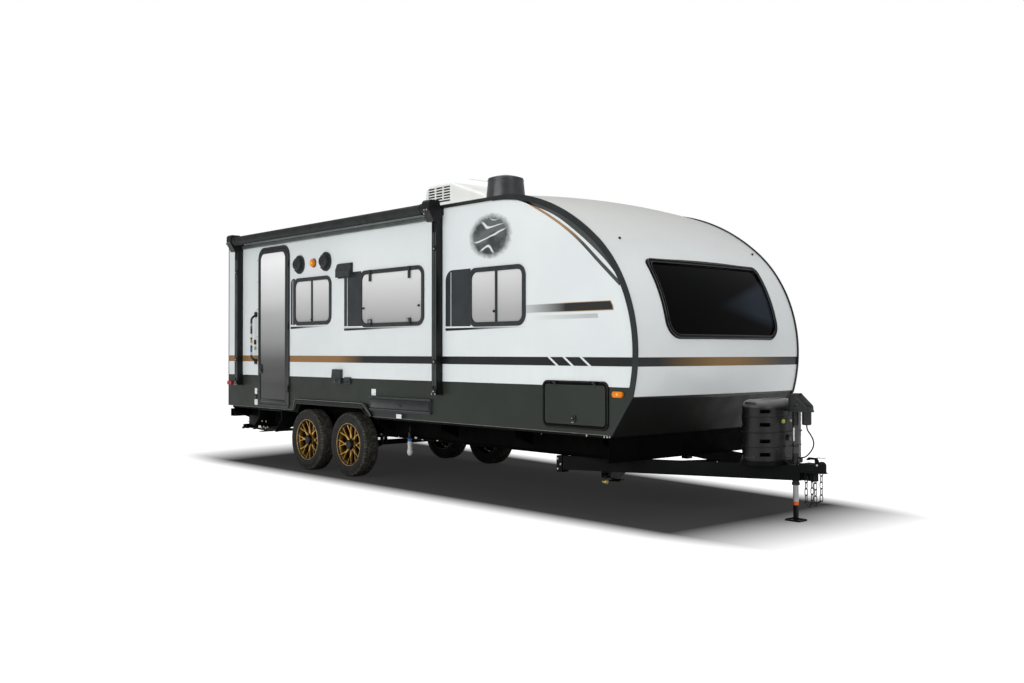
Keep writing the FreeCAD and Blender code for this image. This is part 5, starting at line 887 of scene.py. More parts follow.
# Painted highlight: the bead is grey, not black, for the line of light it catches.
bead_highlight = made_finish("bead_rubber_highlight", shade(38, 41, 42), shade(54, 57, 58), (0.25, 0.4), coat=0.3, patch=20.0,
                          grain=700.0)


def nose_spot(y, z, out):
    """A point on the crowned nose at one place across and up, so far off its face."""
    crown = 0.060 * (1 - (y / half_width) ** 2)
    rise = z - nose_centre.y
    reach = nose_reach + crown + out
    return Vector((nose_centre.x + math.sqrt(reach ** 2 - rise ** 2), y, z))


def bridged(form, loops, closed=False):
    """Skins a row of loops, and closes it in a ring or with a face at each end."""
    rings = [[form.verts.new(spot) for spot in loop] for loop in loops]
    for first, last in zip(rings, rings[1:] + (rings[:1] if closed else [])):
        for k in range(len(first)):
            form.faces.new((first[k], first[k - 1], last[k - 1], last[k]))
    if not closed:
        form.faces.new(rings[0][::-1])
        form.faces.new(rings[-1])


tube_sides = 8


def tube(name, points, radius, finish, body="caravan", closed=False):
    """A round bar or bead that follows a line of points."""
    turns = [2 * math.pi * k / tube_sides for k in range(tube_sides)]
    points = [Vector(point) for point in points]
    before = points[-1:] + points[:-1] if closed else points[:1] + points[:-1]
    after = points[1:] + points[:1] if closed else points[1:] + points[-1:]
    loops = []
    for point, back, ahead in zip(points, before, after):
        way = (ahead - back).normalized()
        side_way = way.cross(Vector((0, 0, 1)))
        if side_way.length < 0.1:
            side_way = way.cross(Vector((1, 0, 0)))
        side_way.normalize()
        rise = side_way.cross(way)
        loops.append([point + radius * (side_way * math.cos(turn) + rise * math.sin(turn)) for turn in turns])
    form = bmesh.new()
    bridged(form, loops, closed)
    fitted(sealed(name, form, finish, 40.0), body)


def front_outline(inset):
    """The front window's outline on the nose, as places across and up."""
    wide, foot_radius, top_radius = 0.833 - inset, 0.165 - inset, 0.062
    line = rounded(-wide, wide, 1.573 + inset, 2.308 - inset, (foot_radius, foot_radius, top_radius, top_radius), 8)
    full = []
    for (y0, z0), (y1, z1) in zip(line, line[1:] + line[:1]):
        parts = max(1, int(math.hypot(y1 - y0, z1 - z0) / 0.06))
        full += [(y0 + (y1 - y0) * k / parts, z0 + (z1 - z0) * k / parts) for k in range(parts)]
    return full


bead_line = [nose_spot(y, z, 0.0165) for y, z in front_outline(0.014)]
tube("front_window_bead", bead_line, 0.0042, bead_highlight, closed=True)
inner_line = [nose_spot(y, z, 0.0135) for y, z in front_outline(0.041)]
tube("front_window_gasket", inner_line, 0.0045, small_black, closed=True)

# Two small black fittings stand on the brow above the window
brow_part = shaped("brow_part", [
    (lathe, [(0, 0), (0.013, 0), (0.013, 0.006), (0.009, 0.014), (0.004, 0.018), (0, 0.0182)], 20),
], small_black, 30.0)
brow_spots = []
for y, z in ((-0.930, 2.478), (1.045, 2.452)):
    spot = nose_spot(y, z, 0.0)
    brow_spots.append((spot, (spot - Vector((nose_centre.x, y * 0.7, nose_centre.y))).normalized()))
set_parts("brow_fittings", brow_part, brow_spots, small_black)


# Entry door: a full glass leaf, mirrored and tinted, in a black aluminium frame on three
# hinges. A dark sill closes its foot, and a paddle latch sits under the handle. The glass
# carries a painted reflection, dark grey at its foot and white towards its top.
door_coat = made_finish("door_coat", shade(28, 32, 33), shade(38, 42, 43), (0.32, 0.44), coat=0.1, patch=8.0,
                        depth=0.00012)
dress(door_coat, "trim_black", "door_frame", "door_leaf")
door_glass_painted_reflection = made_finish("door_glass_painted_reflection", shade(33, 33, 33), shade(37, 37, 37), (0.08, 0.14), coat=0.2, patch=0.7,
                          grain=30.0, depth=0.00002)
# Painted reflection: the door glass lightens from dark grey to white going up.
for low_z, high_z, tone in ((1.05, 1.62, shade(124, 124, 125)), (1.35, 2.15, shade(196, 196, 197)),
                            (1.95, 2.60, shade(254, 254, 255))):
    over(door_glass_painted_reflection, ramp(door_glass_painted_reflection, axis_of(door_glass_painted_reflection, "Z"), low_z, high_z), tone)
dress(door_glass_painted_reflection, "glass_mirror", "door_pane")

# A bright line down the frame's front upright, a kick strip, screws in the ring and the latch
built("door_edge_line", [
    (slab, (-6.5725, -1.2285, 0.80), (-6.5695, -1.2265, 2.70), 0.0006, 1),
], foot_lip, "caravan", 30.0)
built("door_kick_strip", [
    (slab, (-7.300, -1.2085, 0.812), (-6.676, -1.2010, 0.852), 0.003, 2),
    (slab, (-7.300, -1.2115, 0.822), (-6.676, -1.2070, 0.830), 0.0018, 1),
], small_black, "door", 30.0)
screw_part = shaped("screw_part", [
    (lathe, [(0, 0), (0.0065, 0), (0.0062, 0.0016), (0.0045, 0.0028), (0.0020, 0.0030), (0.0020, 0.0020),
     (0, 0.0020)], 12),
], zinc, 30.0)
door_screws = [(x, z) for x in (-7.349, -6.583) for z in (0.94, 1.30, 1.66, 2.02, 2.38, 2.66)]
set_parts("door_frame_screws", screw_part, outward(-1, 1.2278, door_screws), small_black)
built("door_latch", [
    (slab, (-7.318, -1.2130, 1.180), (-7.252, -1.2030, 1.300), 0.006, 3),
    (slab, (-7.308, -1.2250, 1.196), (-7.264, -1.2110, 1.244), 0.005, 3),
    (lathe, [(0, 0), (0.012, 0), (0.012, 0.004), (0.009, 0.006), (0, 0.006)], 20, "-Y", (-7.286, -1.2128, 1.272)),
], small_black, "door")


# Grab handle: a bent aluminium tube on two moulded feet, coated black, with safety tape and
# small reflective bits wrapped round the tube.
handle_coat = made_finish("handle_coat", shade(28, 29, 30), shade(42, 44, 45), (0.3, 0.42), coat=0.2, patch=20.0,
                          depth=0.00015)
tape_level = axis_of(handle_coat, "Z")
for low_z, high_z, tape in ((1.800, 1.835, shade(150, 152, 150)), (1.765, 1.795, shade(70, 76, 80)),
                            (1.650, 1.700, shade(222, 222, 216)), (1.592, 1.628, shade(206, 132, 44)),
                            (1.545, 1.585, shade(214, 214, 208)), (1.470, 1.520, shade(66, 104, 150)),
                            (1.420, 1.462, shade(190, 196, 200))):
    over(handle_coat, sums(handle_coat, "MULTIPLY", between(handle_coat, tape_level, low_z, high_z), 0.9), tape)
dress(handle_coat, "trim_black", "grab_handle")
foot_screw = shaped("foot_screw", [
    (lathe, [(0, 0), (0.0105, 0), (0.0105, 0.004), (0.007, 0.0065), (0, 0.0065)], 16),
], small_black, 30.0)
set_parts("handle_screws", foot_screw, outward(-1, 1.2115, [(-7.440, 1.318), (-7.440, 1.972)]), small_black)

# Two small pegs beside the door, a black one over a yellow-green one
built("door_stay_peg", [
    (slab, (-7.462, -1.222, 1.560), (-7.440, -1.196, 1.622), 0.005, 2),
], small_black)
tag_green = made_finish("tag_green", shade(150, 160, 84), shade(172, 180, 104), (0.4, 0.55), patch=60.0)
built("door_stay_tab", [
    (slab, (-7.464, -1.216, 1.488), (-7.438, -1.196, 1.532), 0.005, 2),
], tag_green)

# Plain white plates low on the wall, with black bits between two of them. The last plate
# stands further out, on the fender.
plate_white = made_finish("plate_white", shade(222, 224, 222), shade(236, 237, 235), (0.35, 0.5), coat=0.2,
                          patch=30.0)
built("wall_plates", [(slab, (x0, out - 0.0050, z0), (x1, out, z1), 0.0016, 2) for x0, x1, z0, z1, out in (
    (-7.470, -7.404, 0.907, 0.983, -1.1955), (-7.474, -7.396, 0.762, 0.837, -1.1955),
    (-4.735, -4.651, 0.972, 1.045, -1.1955), (-4.209, -4.116, 0.738, 0.784, -1.2280))],
    plate_white, "caravan")
form = bmesh.new()
for z0, z1 in ((0.872, 0.898), (0.845, 0.864)):
    slab(form, (-7.462, -1.2050, z0), (-7.412, -1.1955, z1), 0.003, 2)
lathe(form, [(0, 0), (0.016, 0), (0.016, 0.010), (0.010, 0.014), (0, 0.014)], 20, "-Y", (-7.437, -1.1955, 0.883))
fitted(sealed("wall_plate_bits", form, small_black, 35.0), "caravan")


# Entry step and its bracket: a pressed steel tread with grip ribs, tucked up under the door
# when stowed. The bracket is bolted on and carries a small white plate.
step_paint = made_finish("step_paint", shade(22, 23, 23), shade(40, 40, 39), (0.45, 0.65), coat=0.1, patch=10.0,
                         grain=260.0, depth=0.0012)
dust(step_paint, shade(104, 100, 90), 0.3)
dress(step_paint, "frame_black", "entry_step")
dress(chassis_paint, "frame_black", "step_bracket")
rib_count, rib_pitch = 9, 0.052
rib_starts = [-7.36 + rib_pitch * count for count in range(rib_count)]
built("step_grip_ribs", [(slab, (along, -1.19, 0.4652), (along + 0.020, -0.98, 0.4698), 0.002, 2)
                         for along in rib_starts], step_paint, "step")
built("step_plate", [
    (slab, (-7.30, -1.2372, 0.470), (-7.235, -1.2335, 0.500), 0.0012, 2),
], plate_white, "caravan")
step_bolts = ((-7.20, 0.56), (-7.10, 0.56), (-7.215, 0.475), (-7.16, 0.49), (-7.11, 0.478), (-7.06, 0.49))
set_parts("step_bolts", bolt_head, outward(-1, 1.2331, step_bolts), zinc, 0.7)


# Baggage hatches: the lids are cut from the wall's own panel and keep its dark colour. Each
# hangs in a black extruded frame with a rubber bead, and has a small paddle latch and a ring.
# A black ring round each lid's border is partly frame and partly painted shade of the gap.
hatch_skin = made_finish("hatch_skin", shade(34, 40, 34), shade(40, 46, 40), (0.38, 0.5), patch=1.4)
dress(hatch_skin, "skirt_black", "curb_hatch", "road_hatch")
dress(plate_black, "trim_black", "hatch_frames")
latch_x = -1.518
lid_outer = rounded(-1.8835, -1.1275, 0.8105, 1.1640, (0.034,) * 4)
lid_inner = rounded(-1.8605, -1.1505, 0.8335, 1.1410, (0.016,) * 4)
bead_outline = rounded(-1.9135, -1.0975, 0.7805, 1.1935, (0.054,) * 4)
ring_turns = [2 * math.pi * k / 15 for k in range(15)]
ring_outline = [(latch_x + 0.012 * math.cos(turn), 0.838 + 0.016 * math.sin(turn)) for turn in ring_turns]
# Frame and painted shade: a black ring round each lid's border widens the dark edge.
for side, hand in hands:
    form = bmesh.new()
    bridged(form, [[(x, side * out, z) for x, z in line] for line, out in (
        (lid_outer, 1.1953), (lid_outer, 1.1990), (lid_inner, 1.2002), (lid_inner, 1.1953))], closed=True)
    lid = f"{hand}_hatch_lid"
    fitted(sealed(f"hatch_lid_frame_{hand}", form, plate_black, 35.0), lid)
    tube(f"hatch_bead_{hand}", [(x, side * 1.2052, z) for x, z in bead_outline], 0.0035, small_black, closed=True)
    built(f"hatch_latch_{hand}", [
        (slab, (-1.541, side * 1.1960, 0.826), (-1.495, side * 1.2075, 0.892), 0.004, 2),
        (slab, (-1.534, side * 1.2060, 0.846), (-1.502, side * 1.2150, 0.884), 0.004, 2),
    ], plate_black, lid)
    built(f"hatch_lock_{hand}", [
        (lathe, [(0, 0), (0.0085, 0), (0.0085, 0.004), (0.0055, 0.005), (0, 0.0045)], 16, "-Y" if side < 0 else "Y",
         (latch_x, side * 1.2150, 0.868)),
    ], satin_chrome, lid)
    tube(f"hatch_pull_{hand}", [(x, side * 1.2100, z) for x, z in ring_outline], 0.0022, satin_chrome, lid,
         closed=True)


# Awning: fabric on a spring roller between two cast heads, on arms that fold against the
# wall. The arms are black anodised channels with pale edges, and white struts stand by them.
arm_black = made_finish("arm_black", shade(12, 14, 15), shade(20, 23, 24), (0.3, 0.44), coat=0.03, patch=5.0,
                        stretch=(4.0, 4.0, 0.3))
rolled_fabric = made_finish("rolled_fabric", shade(22, 24, 24), shade(36, 39, 39), (0.55, 0.75), patch=9.0,
                            grain=420.0, depth=0.0010, gloss=0.25)
dress(arm_black, "trim_black", "awning_arms")
dress(rolled_fabric, "trim_black", "awning_roller")
rail_grey = made_finish("rail_grey", shade(84, 94, 90), shade(98, 108, 104), (0.3, 0.42), metal=0.2, coat=0.2,
                        patch=6.0)
built("awning_rail", [
    (slab, (-7.78, -1.2290, 2.842), (-3.56, -1.1965, 2.874), 0.004, 2),
    (slab, (-7.78, -1.2330, 2.866), (-3.56, -1.2250, 2.886), 0.003, 2),
], rail_grey, smooth=30.0)
white_metal = made_finish("white_metal", shade(218, 221, 221), shade(232, 234, 234), (0.3, 0.45), coat=0.3,
                          patch=9.0)
arm_middles = (-7.855, -3.478)
form = bmesh.new()
for middle in arm_middles:
    for offset in (-0.0225, 0.0125):
        slab(form, (middle + offset, -1.2765, 1.11), (middle + offset + 0.010, -1.2700, 2.70), 0.0015, 1)
fitted(sealed("arm_bright_edges", form, rail_grey, 30.0), "caravan")
form = bmesh.new()
for middle in arm_middles:
    slab(form, (middle - 0.0095, -1.2700, 1.10), (middle + 0.0095, -1.2640, 2.52), 0.002, 2)
    slab(form, (middle - 0.030, -1.2810, 1.335), (middle + 0.030, -1.2740, 1.385), 0.003, 2)
    slab(form, (middle - 0.030, -1.2810, 2.505), (middle + 0.030, -1.2740, 2.560), 0.003, 2)
    slab(form, (middle - 0.036, -1.2850, 1.030), (middle + 0.036, -1.2740, 1.078), 0.004, 2)
fitted(sealed("arm_inner_bars", form, arm_black, 30.0), "caravan")
built("arm_white_struts", [
    (slab, (-3.560, -1.2420, 2.462), (-3.522, -1.2280, 2.812), 0.004, 2),
    (slab, (-3.556, -1.2450, 2.520), (-3.526, -1.2400, 2.780), 0.003, 2),
    (slab, (-7.935, -1.2420, 2.300), (-7.900, -1.2280, 2.640), 0.004, 2),
], white_metal, "caravan", 30.0)
arm_bolts = []
for middle in arm_middles:
    for depth, spots in ((1.3895, ((-0.022, 2.925), (0.020, 2.925), (-0.022, 2.885))),
                         (1.2850, ((0.0, 1.055), (-0.028, 1.026), (0.028, 1.026))),
                         (1.2811, ((0.0, 1.36), (0.0, 2.53)))):
        arm_bolts += outward(-1, depth, [(middle + along, height) for along, height in spots])
set_parts("awning_bolts", bolt_head, arm_bolts, zinc, 0.62)
end_disc = [(0, -0.018), (0.0605, -0.018), (0.0625, -0.013), (0.0625, 0.013), (0.0605, 0.018), (0, 0.018)]
built("roller_ends", [
    (lathe, end_disc, 40, "X", (-7.725, -1.320, 2.945)),
    (lathe, end_disc, 40, "X", (-3.610, -1.320, 2.945)),
    (lathe, [(0, -0.060), (0.0088, -0.060), (0.0088, 0.060), (0, 0.060)], 16, "X", (-7.975, -1.330, 2.926)),
], arm_black, smooth=30.0)
valance = made_finish("valance_edge", shade(34, 37, 37), shade(52, 56, 56), (0.6, 0.8), patch=22.0, grain=500.0,
                      depth=0.0008)
valance_steps, valance_rear, valance_length = 120, -7.70, 4.07
folds = []
for step in range(valance_steps + 1):
    along = valance_rear + valance_length * step / valance_steps
    drop = 0.0016 * math.sin(step * 1.7) + 0.0010 * math.sin(step * 0.61)
    folds.append([(along, depth, height) for depth, height in (
        (-1.3180, 2.8870), (-1.3420, 2.8860 + drop), (-1.3550, 2.8930 + drop), (-1.3600, 2.9060),
        (-1.3550, 2.8990 + drop), (-1.3420, 2.8900 + drop), (-1.3180, 2.8895))])
form = bmesh.new()
bridged(form, folds)
fitted(sealed("awning_valance", form, valance, 40.0), "caravan")


# Lamps: moulded amber lenses on the walls and red ones on the tail. A lighter core stands in
# the middle of each amber lens, where the bulb sits, and a ring holds the porch lamp.
lens = made_finish("lamp_lens", shade(222, 116, 8), shade(238, 138, 16), (0.2, 0.3), coat=0.1, patch=40.0,
                   grain=300.0, depth=0.0004)
tail_red = sums(lens, "LESS_THAN", axis_of(lens, "X"), -8.0)
over(lens, tail_red, shade(176, 18, 24))
dress(lens, "lamp_amber", "lamps")
amber_core = made_finish("amber_core", shade(250, 168, 60), shade(254, 190, 92), (0.2, 0.3), coat=0.2, patch=60.0,
                         grain=300.0, depth=0.0003)
porch_x, porch_z = -5.987, 2.546
marker_core = [(0, 0), (0.013, 0), (0.012, 0.0030), (0.006, 0.0045), (0, 0.005)]
built("lamp_cores", [
    (lathe, [(0, 0), (0.026, 0), (0.024, 0.0035), (0.014, 0.0065), (0, 0.0075)], 24, "-Y",
     (porch_x, -1.2412, porch_z)),
    (lathe, marker_core, 20, "-Y", (-0.976, -1.2172, 1.094)),
    (lathe, marker_core, 20, "Y", (-0.976, 1.2172, 1.094)),
], amber_core, "caravan")
built("porch_lamp_ring", [
    (lathe, [(0.0485, 0.0), (0.0555, 0.0), (0.0560, 0.006), (0.0530, 0.009), (0.0485, 0.009), (0.0485, 0.0)], 40,
     "-Y", (porch_x, -1.1956, porch_z)),
], small_black)


# Speakers, cooker vent, outlets and the side tray: moulded black plastic, slightly grained.
# The speakers have ringed grilles with four tabs each, and the tray's pale lips along its top
# and foot are painted highlights.
moulded_black = made_finish("moulded_black", shade(46, 50, 52), shade(58, 62, 64), (0.42, 0.58), patch=14.0,
                            grain=650.0, depth=0.0004)
dress(moulded_black, "trim_black", "side_fittings")
speaker_grille = made_finish("speaker_grille", shade(30, 32, 33), shade(50, 53, 54), (0.5, 0.65), patch=30.0,
                             depth=0.0004)


def ridge(radius, foot, top_half, rise):
    """The profile of a low round ridge at one radius."""
    return [(radius - 0.0035, foot), (radius - top_half, foot + rise), (radius + top_half, foot + rise),
            (radius + 0.0035, foot), (radius - 0.0035, foot)]


form = bmesh.new()
for along in (-6.316, -5.702):
    for radius in (0.100, 0.088):
        lathe(form, ridge(radius, 0.0, 0.0025, 0.0045), 40, "-Y", (along, -1.2130, porch_z))
    for radius, foot in ((0.052, 0.0), (0.037, 0.001), (0.022, 0.0012)):
        lathe(form, ridge(radius, foot, 0.0020, 0.0035), 36, "-Y", (along, -1.2686, porch_z))
    lathe(form, [(0, 0), (0.009, 0), (0.008, 0.004), (0, 0.005)], 20, "-Y", (along, -1.2688, porch_z))
    for turn in (40, 140, 220, 320):
        x = along + 0.106 * math.cos(math.radians(turn))
        z = porch_z + 0.106 * math.sin(math.radians(turn))
        slab(form, (x - 0.017, -1.2205, z - 0.012), (x + 0.017, -1.2125, z + 0.012), 0.004, 2)
bmesh.ops.remove_doubles(form, verts=form.verts, dist=1e-5)
fitted(sealed("speaker_rings", form, speaker_grille, 35.0), "caravan")
louvre_feet = [2.356 + 0.012 * count for count in range(5)]
built("vent_hood_louvres", [
    *[(slab, (-5.415, -1.2425, z), (-5.155, -1.2385, z + 0.005), 0.0012, 1) for z in louvre_feet],
    (slab, (-5.436, -1.2040, 2.330), (-5.130, -1.2010, 2.338), 0.001, 1),
    (slab, (-5.420, -1.2450, 2.410), (-5.150, -1.2405, 2.418), 0.002, 2),
], speaker_grille)
built("outlet_details", [
    (slab, (-5.492, -1.2432, 1.150), (-5.366, -1.2395, 1.158), 0.0015, 1),
    (slab, (-5.440, -1.2420, 1.110), (-5.418, -1.2330, 1.140), 0.004, 2),
    (slab, (-5.244, -1.2245, 1.117), (-5.188, -1.2200, 1.123), 0.001, 1),
    (slab, (-5.226, -1.2240, 1.098), (-5.206, -1.2150, 1.112), 0.003, 2),
], small_black)
# Painted highlights: pale lips on the tray and on the fenders' outer rolled edges.
lip_highlight = made_finish("lip_highlight", shade(96, 100, 98), shade(128, 132, 130), (0.3, 0.42), metal=0.3, coat=0.2,
                       patch=9.0)
built("tray_light_lips", [
    (slab, (-4.748, -1.2272, 0.9565), (-3.618, -1.2235, 0.9612), 0.0012, 1),
    (slab, (-4.742, -1.2272, 0.8200), (-3.622, -1.2240, 0.8240), 0.0010, 1),
], lip_highlight, "caravan", 30.0)
built("tray_panel", [
    (slab, (-4.728, -1.2180, 0.838), (-3.640, -1.2150, 0.936), 0.003, 2),
    (slab, (-4.20, -1.2225, 0.862), (-4.14, -1.2160, 0.884), 0.004, 2),
], door_coat)


# Fender trims: thermoformed black skirts that stand off the wall round each arch. A pale tube
# along the outer rolled edge and a grey one along the inner edge are painted highlights.
fender_plastic = made_finish("fender_plastic", shade(9, 10, 10), shade(14, 16, 15), (0.45, 0.6), coat=0.05,
                             patch=6.0, grain=700.0, depth=0.0002)
dress(fender_plastic, "trim_black", "fender_trims")
fender_face = 1.2205
outer_roll = ((-6.455, 0.738), (-6.405, 0.862), (-6.378, 0.874), (-4.905, 0.874), (-4.875, 0.862), (-4.745, 0.762),
              (-4.722, 0.738))
inner_roll = ((-6.392, 0.738), (-6.372, 0.812), (-6.350, 0.821), (-4.92, 0.821), (-4.895, 0.812), (-4.795, 0.738))
# Painted highlights along each fender's rolled edges.
for side, hand in hands:
    for name, line, radius, finish in (("fender_roll", outer_roll, 0.0042, lip_highlight),
                                       ("fender_inner_roll", inner_roll, 0.0030, bead_highlight)):
        tube(f"{name}_{hand}", [(x, side * fender_face, z) for x, z in line], radius, finish)


# Roof units: an air conditioner under a white moulded shroud with dark mesh in its intake
# slots, a tilting vent with a smoked lid, and an antenna of grained black plastic.
shroud_white = made_finish("shroud_white", shade(228, 230, 227), shade(236, 237, 234), (0.4, 0.55), coat=0.1,
                           grain=480.0, depth=0.0003)
dust(shroud_white, shade(180, 176, 164), 0.25, 9.0)
dress(shroud_white, "roof_white", "air_conditioner", "roof_vent")
antenna_black = made_finish("antenna_black", shade(34, 38, 39), shade(46, 50, 52), (0.28, 0.4), coat=0.3,
                            patch=10.0, grain=520.0, depth=0.0002, gloss=0.5)
dust(antenna_black, shade(120, 118, 110), 0.25, 9.0)
dress(antenna_black, "trim_black", "roof_antenna")
smoked = made_finish("smoked_lid", shade(72, 76, 78), shade(86, 90, 92), (0.25, 0.4), coat=0.4, patch=8.0,
                     grain=500.0, depth=0.0002)
dust(smoked, shade(150, 148, 140), 0.3, 9.0)
dress(smoked, "trim_black", "vent_lid")
slot_dark = made_finish("slot_dark", shade(34, 36, 36), shade(52, 54, 54), (0.6, 0.8), patch=24.0, grain=300.0,
                        depth=0.0010)
form = bmesh.new()
for side in (-1, 1):
    slab(form, (-4.797, side * 0.3362, 3.217), (-4.388, side * 0.3385, 3.393), 0.0008, 1)
fitted(sealed("shroud_slot_mesh", form, slot_dark, 30.0), "caravan")
form = bmesh.new()
for side in (-1, 1):
    for along in (-4.84, -4.30, -3.76):
        slab(form, (along, side * 0.3600, 3.066), (along + 0.030, side * 0.3660, 3.082), 0.002, 2)
slab(form, (-4.10, -0.30, 3.4345), (-4.06, 0.30, 3.4360), 0.0005, 1)
fitted(sealed("shroud_clips", form, shroud_white, 30.0), "caravan")
antenna_x, antenna_y = -2.952, -0.750
form = bmesh.new()
for height, radius in ((3.040, 0.2068), (3.225, 0.1872)):
    lathe(form, [(radius - 0.002, -0.004), (radius + 0.0018, -0.0025), (radius + 0.0018, 0.0025),
                 (radius - 0.002, 0.004), (radius - 0.002, -0.004)], 60, "Z", (antenna_x, antenna_y, height))
lathe(form, [(0.060, 0.0), (0.062, 0.0018), (0.066, 0.0018), (0.068, 0.0), (0.060, 0.0)], 40, "Z",
      (antenna_x, antenna_y, 3.2765))
fitted(sealed("antenna_seams", form, antenna_black, 35.0), "caravan")


# Gas bottle cover: vacuum-formed black shells over a pair of bottles, clipped together. The
# shells have a leather-like grain and moulded ribs, and the changeover has a green cap. Their
# tops are painted grey: a painted highlight.
cover_grain_and_highlight = made_finish("cover_grain_and_highlight", shade(11, 12, 12), shade(17, 18, 18), (0.32, 0.46), coat=0.05, patch=5.0,
                          grain=380.0, depth=0.0004, gloss=0.25)
# Painted highlight: the cover turns grey over its rounded top.
over(cover_grain_and_highlight, ramp(cover_grain_and_highlight, axis_of(cover_grain_and_highlight, "Z"), 0.975, 1.045), shade(116, 116, 117))
dust(cover_grain_and_highlight, shade(96, 92, 84), 0.25)
dress(cover_grain_and_highlight, "trim_black", "gas_cover")


def cover_outline(out, height, steps=12):
    """The rounded outline of the gas cover, so far off its face at one height."""
    middle, reach, radius = -0.245, 0.150, 0.170 + out
    line = []
    for way, first in ((1, 0), (-1, 180)):
        for step in range(steps + 1):
            turn = math.radians(first + 180 * step / steps)
            line.append((middle + radius * math.cos(turn), way * reach + radius * math.sin(turn), height))
    return line


for name, height, out in (("cover_low_rib", 0.640, 0.002), ("cover_mid_rib", 0.764, 0.0075),
                          ("cover_high_rib", 0.900, 0.002)):
    tube(name, cover_outline(out, height), 0.0035, cover_grain_and_highlight, closed=True)
built("cover_clips", [
    (slab, (-0.300, -0.3215, 1.008), (-0.190, -0.3180, 1.028), 0.002, 2),
    (slab, (-0.300, -0.3215, 0.538), (-0.190, -0.3180, 0.558), 0.002, 2),
    (slab, (-0.066, -0.020, 0.690), (-0.058, 0.020, 0.742), 0.003, 2),
], small_black)
built("changeover_cap", [
    (lathe, [(0, 0), (0.019, 0), (0.019, 0.010), (0.0165, 0.013), (0.0165, 0.022), (0.012, 0.026), (0, 0.026)], 24,
     "X", (-0.074, -0.085, 0.860)),
], tag_green)
built("changeover_fitting", [
    (lathe, [(0, 0), (0.010, 0), (0.010, 0.045), (0.013, 0.046), (0.013, 0.058), (0, 0.058)], 20, "X",
     (-0.062, -0.060, 0.868)),
    (lathe, [(0, 0), (0.0065, 0), (0.0065, 0.030), (0, 0.030)], 16, "-Y", (-0.030, -0.030, 0.868)),
], satin_chrome, "caravan")


# Tongue jack: an electric screw jack with a moulded black head over its motor. The outer tube
# is dull grey, and the inner one is plated, with an orange depth band above its black foot.
# A pale strip down the outer tube's near side is a label and a painted highlight.
head_plastic = made_finish("head_plastic", shade(24, 25, 26), shade(36, 37, 38), (0.36, 0.5), coat=0.1, patch=12.0,
                           grain=520.0, depth=0.0005)
tube_level = axis_of(head_plastic, "Z")
plated = between(head_plastic, tube_level, 0.585, 0.825)
narrow = sums(head_plastic, "LESS_THAN", sums(head_plastic, "ABSOLUTE", axis_of(head_plastic, "X")), 0.0288)
over(head_plastic, sums(head_plastic, "MULTIPLY", plated, narrow), shade(64, 65, 64))
dress(head_plastic, "trim_black", "jack_housing")
leg_plate = made_finish("leg_plate", shade(150, 151, 148), shade(184, 184, 180), (0.28, 0.45), metal=0.75,
                        patch=16.0, grain=700.0, depth=0.0002, stretch=(1.0, 1.0, 0.3))
leg_level = axis_of(leg_plate, "Z")
over(leg_plate, sums(leg_plate, "LESS_THAN", leg_level, 0.168), shade(206, 96, 44))
over(leg_plate, sums(leg_plate, "LESS_THAN", leg_level, 0.136), shade(24, 24, 24))
dress(leg_plate, "steel", "jack_leg")
built("jack_head_details", [
    (slab, (-0.040, -0.0535, 0.965), (0.045, -0.0505, 0.972), 0.001, 1),
    (slab, (-0.046, -0.0560, 0.952), (0.150, -0.0520, 0.960), 0.0015, 2),
    (slab, (0.020, -0.0545, 0.990), (0.062, -0.0500, 1.014), 0.004, 2),
    (lathe, [(0, 0), (0.014, 0), (0.012, 0.006), (0, 0.008)], 20, "Z", (0.050, 0, 1.0985)),
], small_black)
built("jack_tube_band", [
    (lathe, [(0.0292, 0.0), (0.0305, 0.002), (0.0305, 0.022), (0.0292, 0.024), (0.0286, 0.022), (0.0286, 0.002),
     (0.0292, 0.0)], 32, "Z", (0, 0, 0.640)),
], small_black)
# A label and painted highlight: a pale strip down the near side of the outer tube.
built("jack_tube_plate", [
    (slab, (-0.007, -0.0300, 0.690), (0.007, -0.0275, 0.806), 0.001, 2),
], plate_white, "caravan")

# The motor's lead: black rubber cable out of the motor, in a loop to its gland on the tube
lead_rubber = made_finish("lead_rubber", shade(24, 24, 25), shade(38, 38, 39), (0.45, 0.6), patch=40.0,
                          grain=1500.0, depth=0.0002)
lead_curve = bpy.data.curves.new("motor_lead", "CURVE")
lead_curve.dimensions = "3D"
route = lead_curve.splines.new("NURBS")
lead_route = ((0.109, 0.833), (0.109, 0.795), (0.150, 0.750), (0.180, 0.695), (0.172, 0.640), (0.130, 0.585),
              (0.082, 0.548), (0.034, 0.548))
route.points.add(len(lead_route) - 1)
for point, (x, z) in zip(route.points, lead_route):
    point.co = (x, 0.0, z, 1.0)
route.order_u = 3
route.use_endpoint_u = True
route.resolution_u = 12
lead_curve.bevel_depth = 0.006
lead_curve.bevel_resolution = 4
lead_curve.use_fill_caps = True
lead_curve.materials.append(lead_rubber)
motor_lead = bpy.data.objects.new("motor_lead", lead_curve)
scene.collection.objects.link(motor_lead)
fitted(motor_lead, "caravan")
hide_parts("jack_lead")

# A thin feed wire is clipped down the front of the cover, from the jack's head to the frame
feed_line = smooth_line([(-0.020, -0.048, 0.958), (-0.036, -0.075, 0.900), (-0.050, -0.092, 0.800),
                         (-0.052, -0.086, 0.690), (-0.054, -0.092, 0.600), (-0.040, -0.085, 0.520),
                         (-0.012, -0.062, 0.497)], 6)
tube("feed_wire", feed_line, 0.0042, lead_rubber)
branch_line = smooth_line([(-0.062, -0.150, 0.605), (-0.044, -0.120, 0.560), (-0.030, -0.090, 0.548),
                           (-0.012, -0.058, 0.552)], 6)
tube("feed_branch", branch_line, 0.0036, lead_rubber)


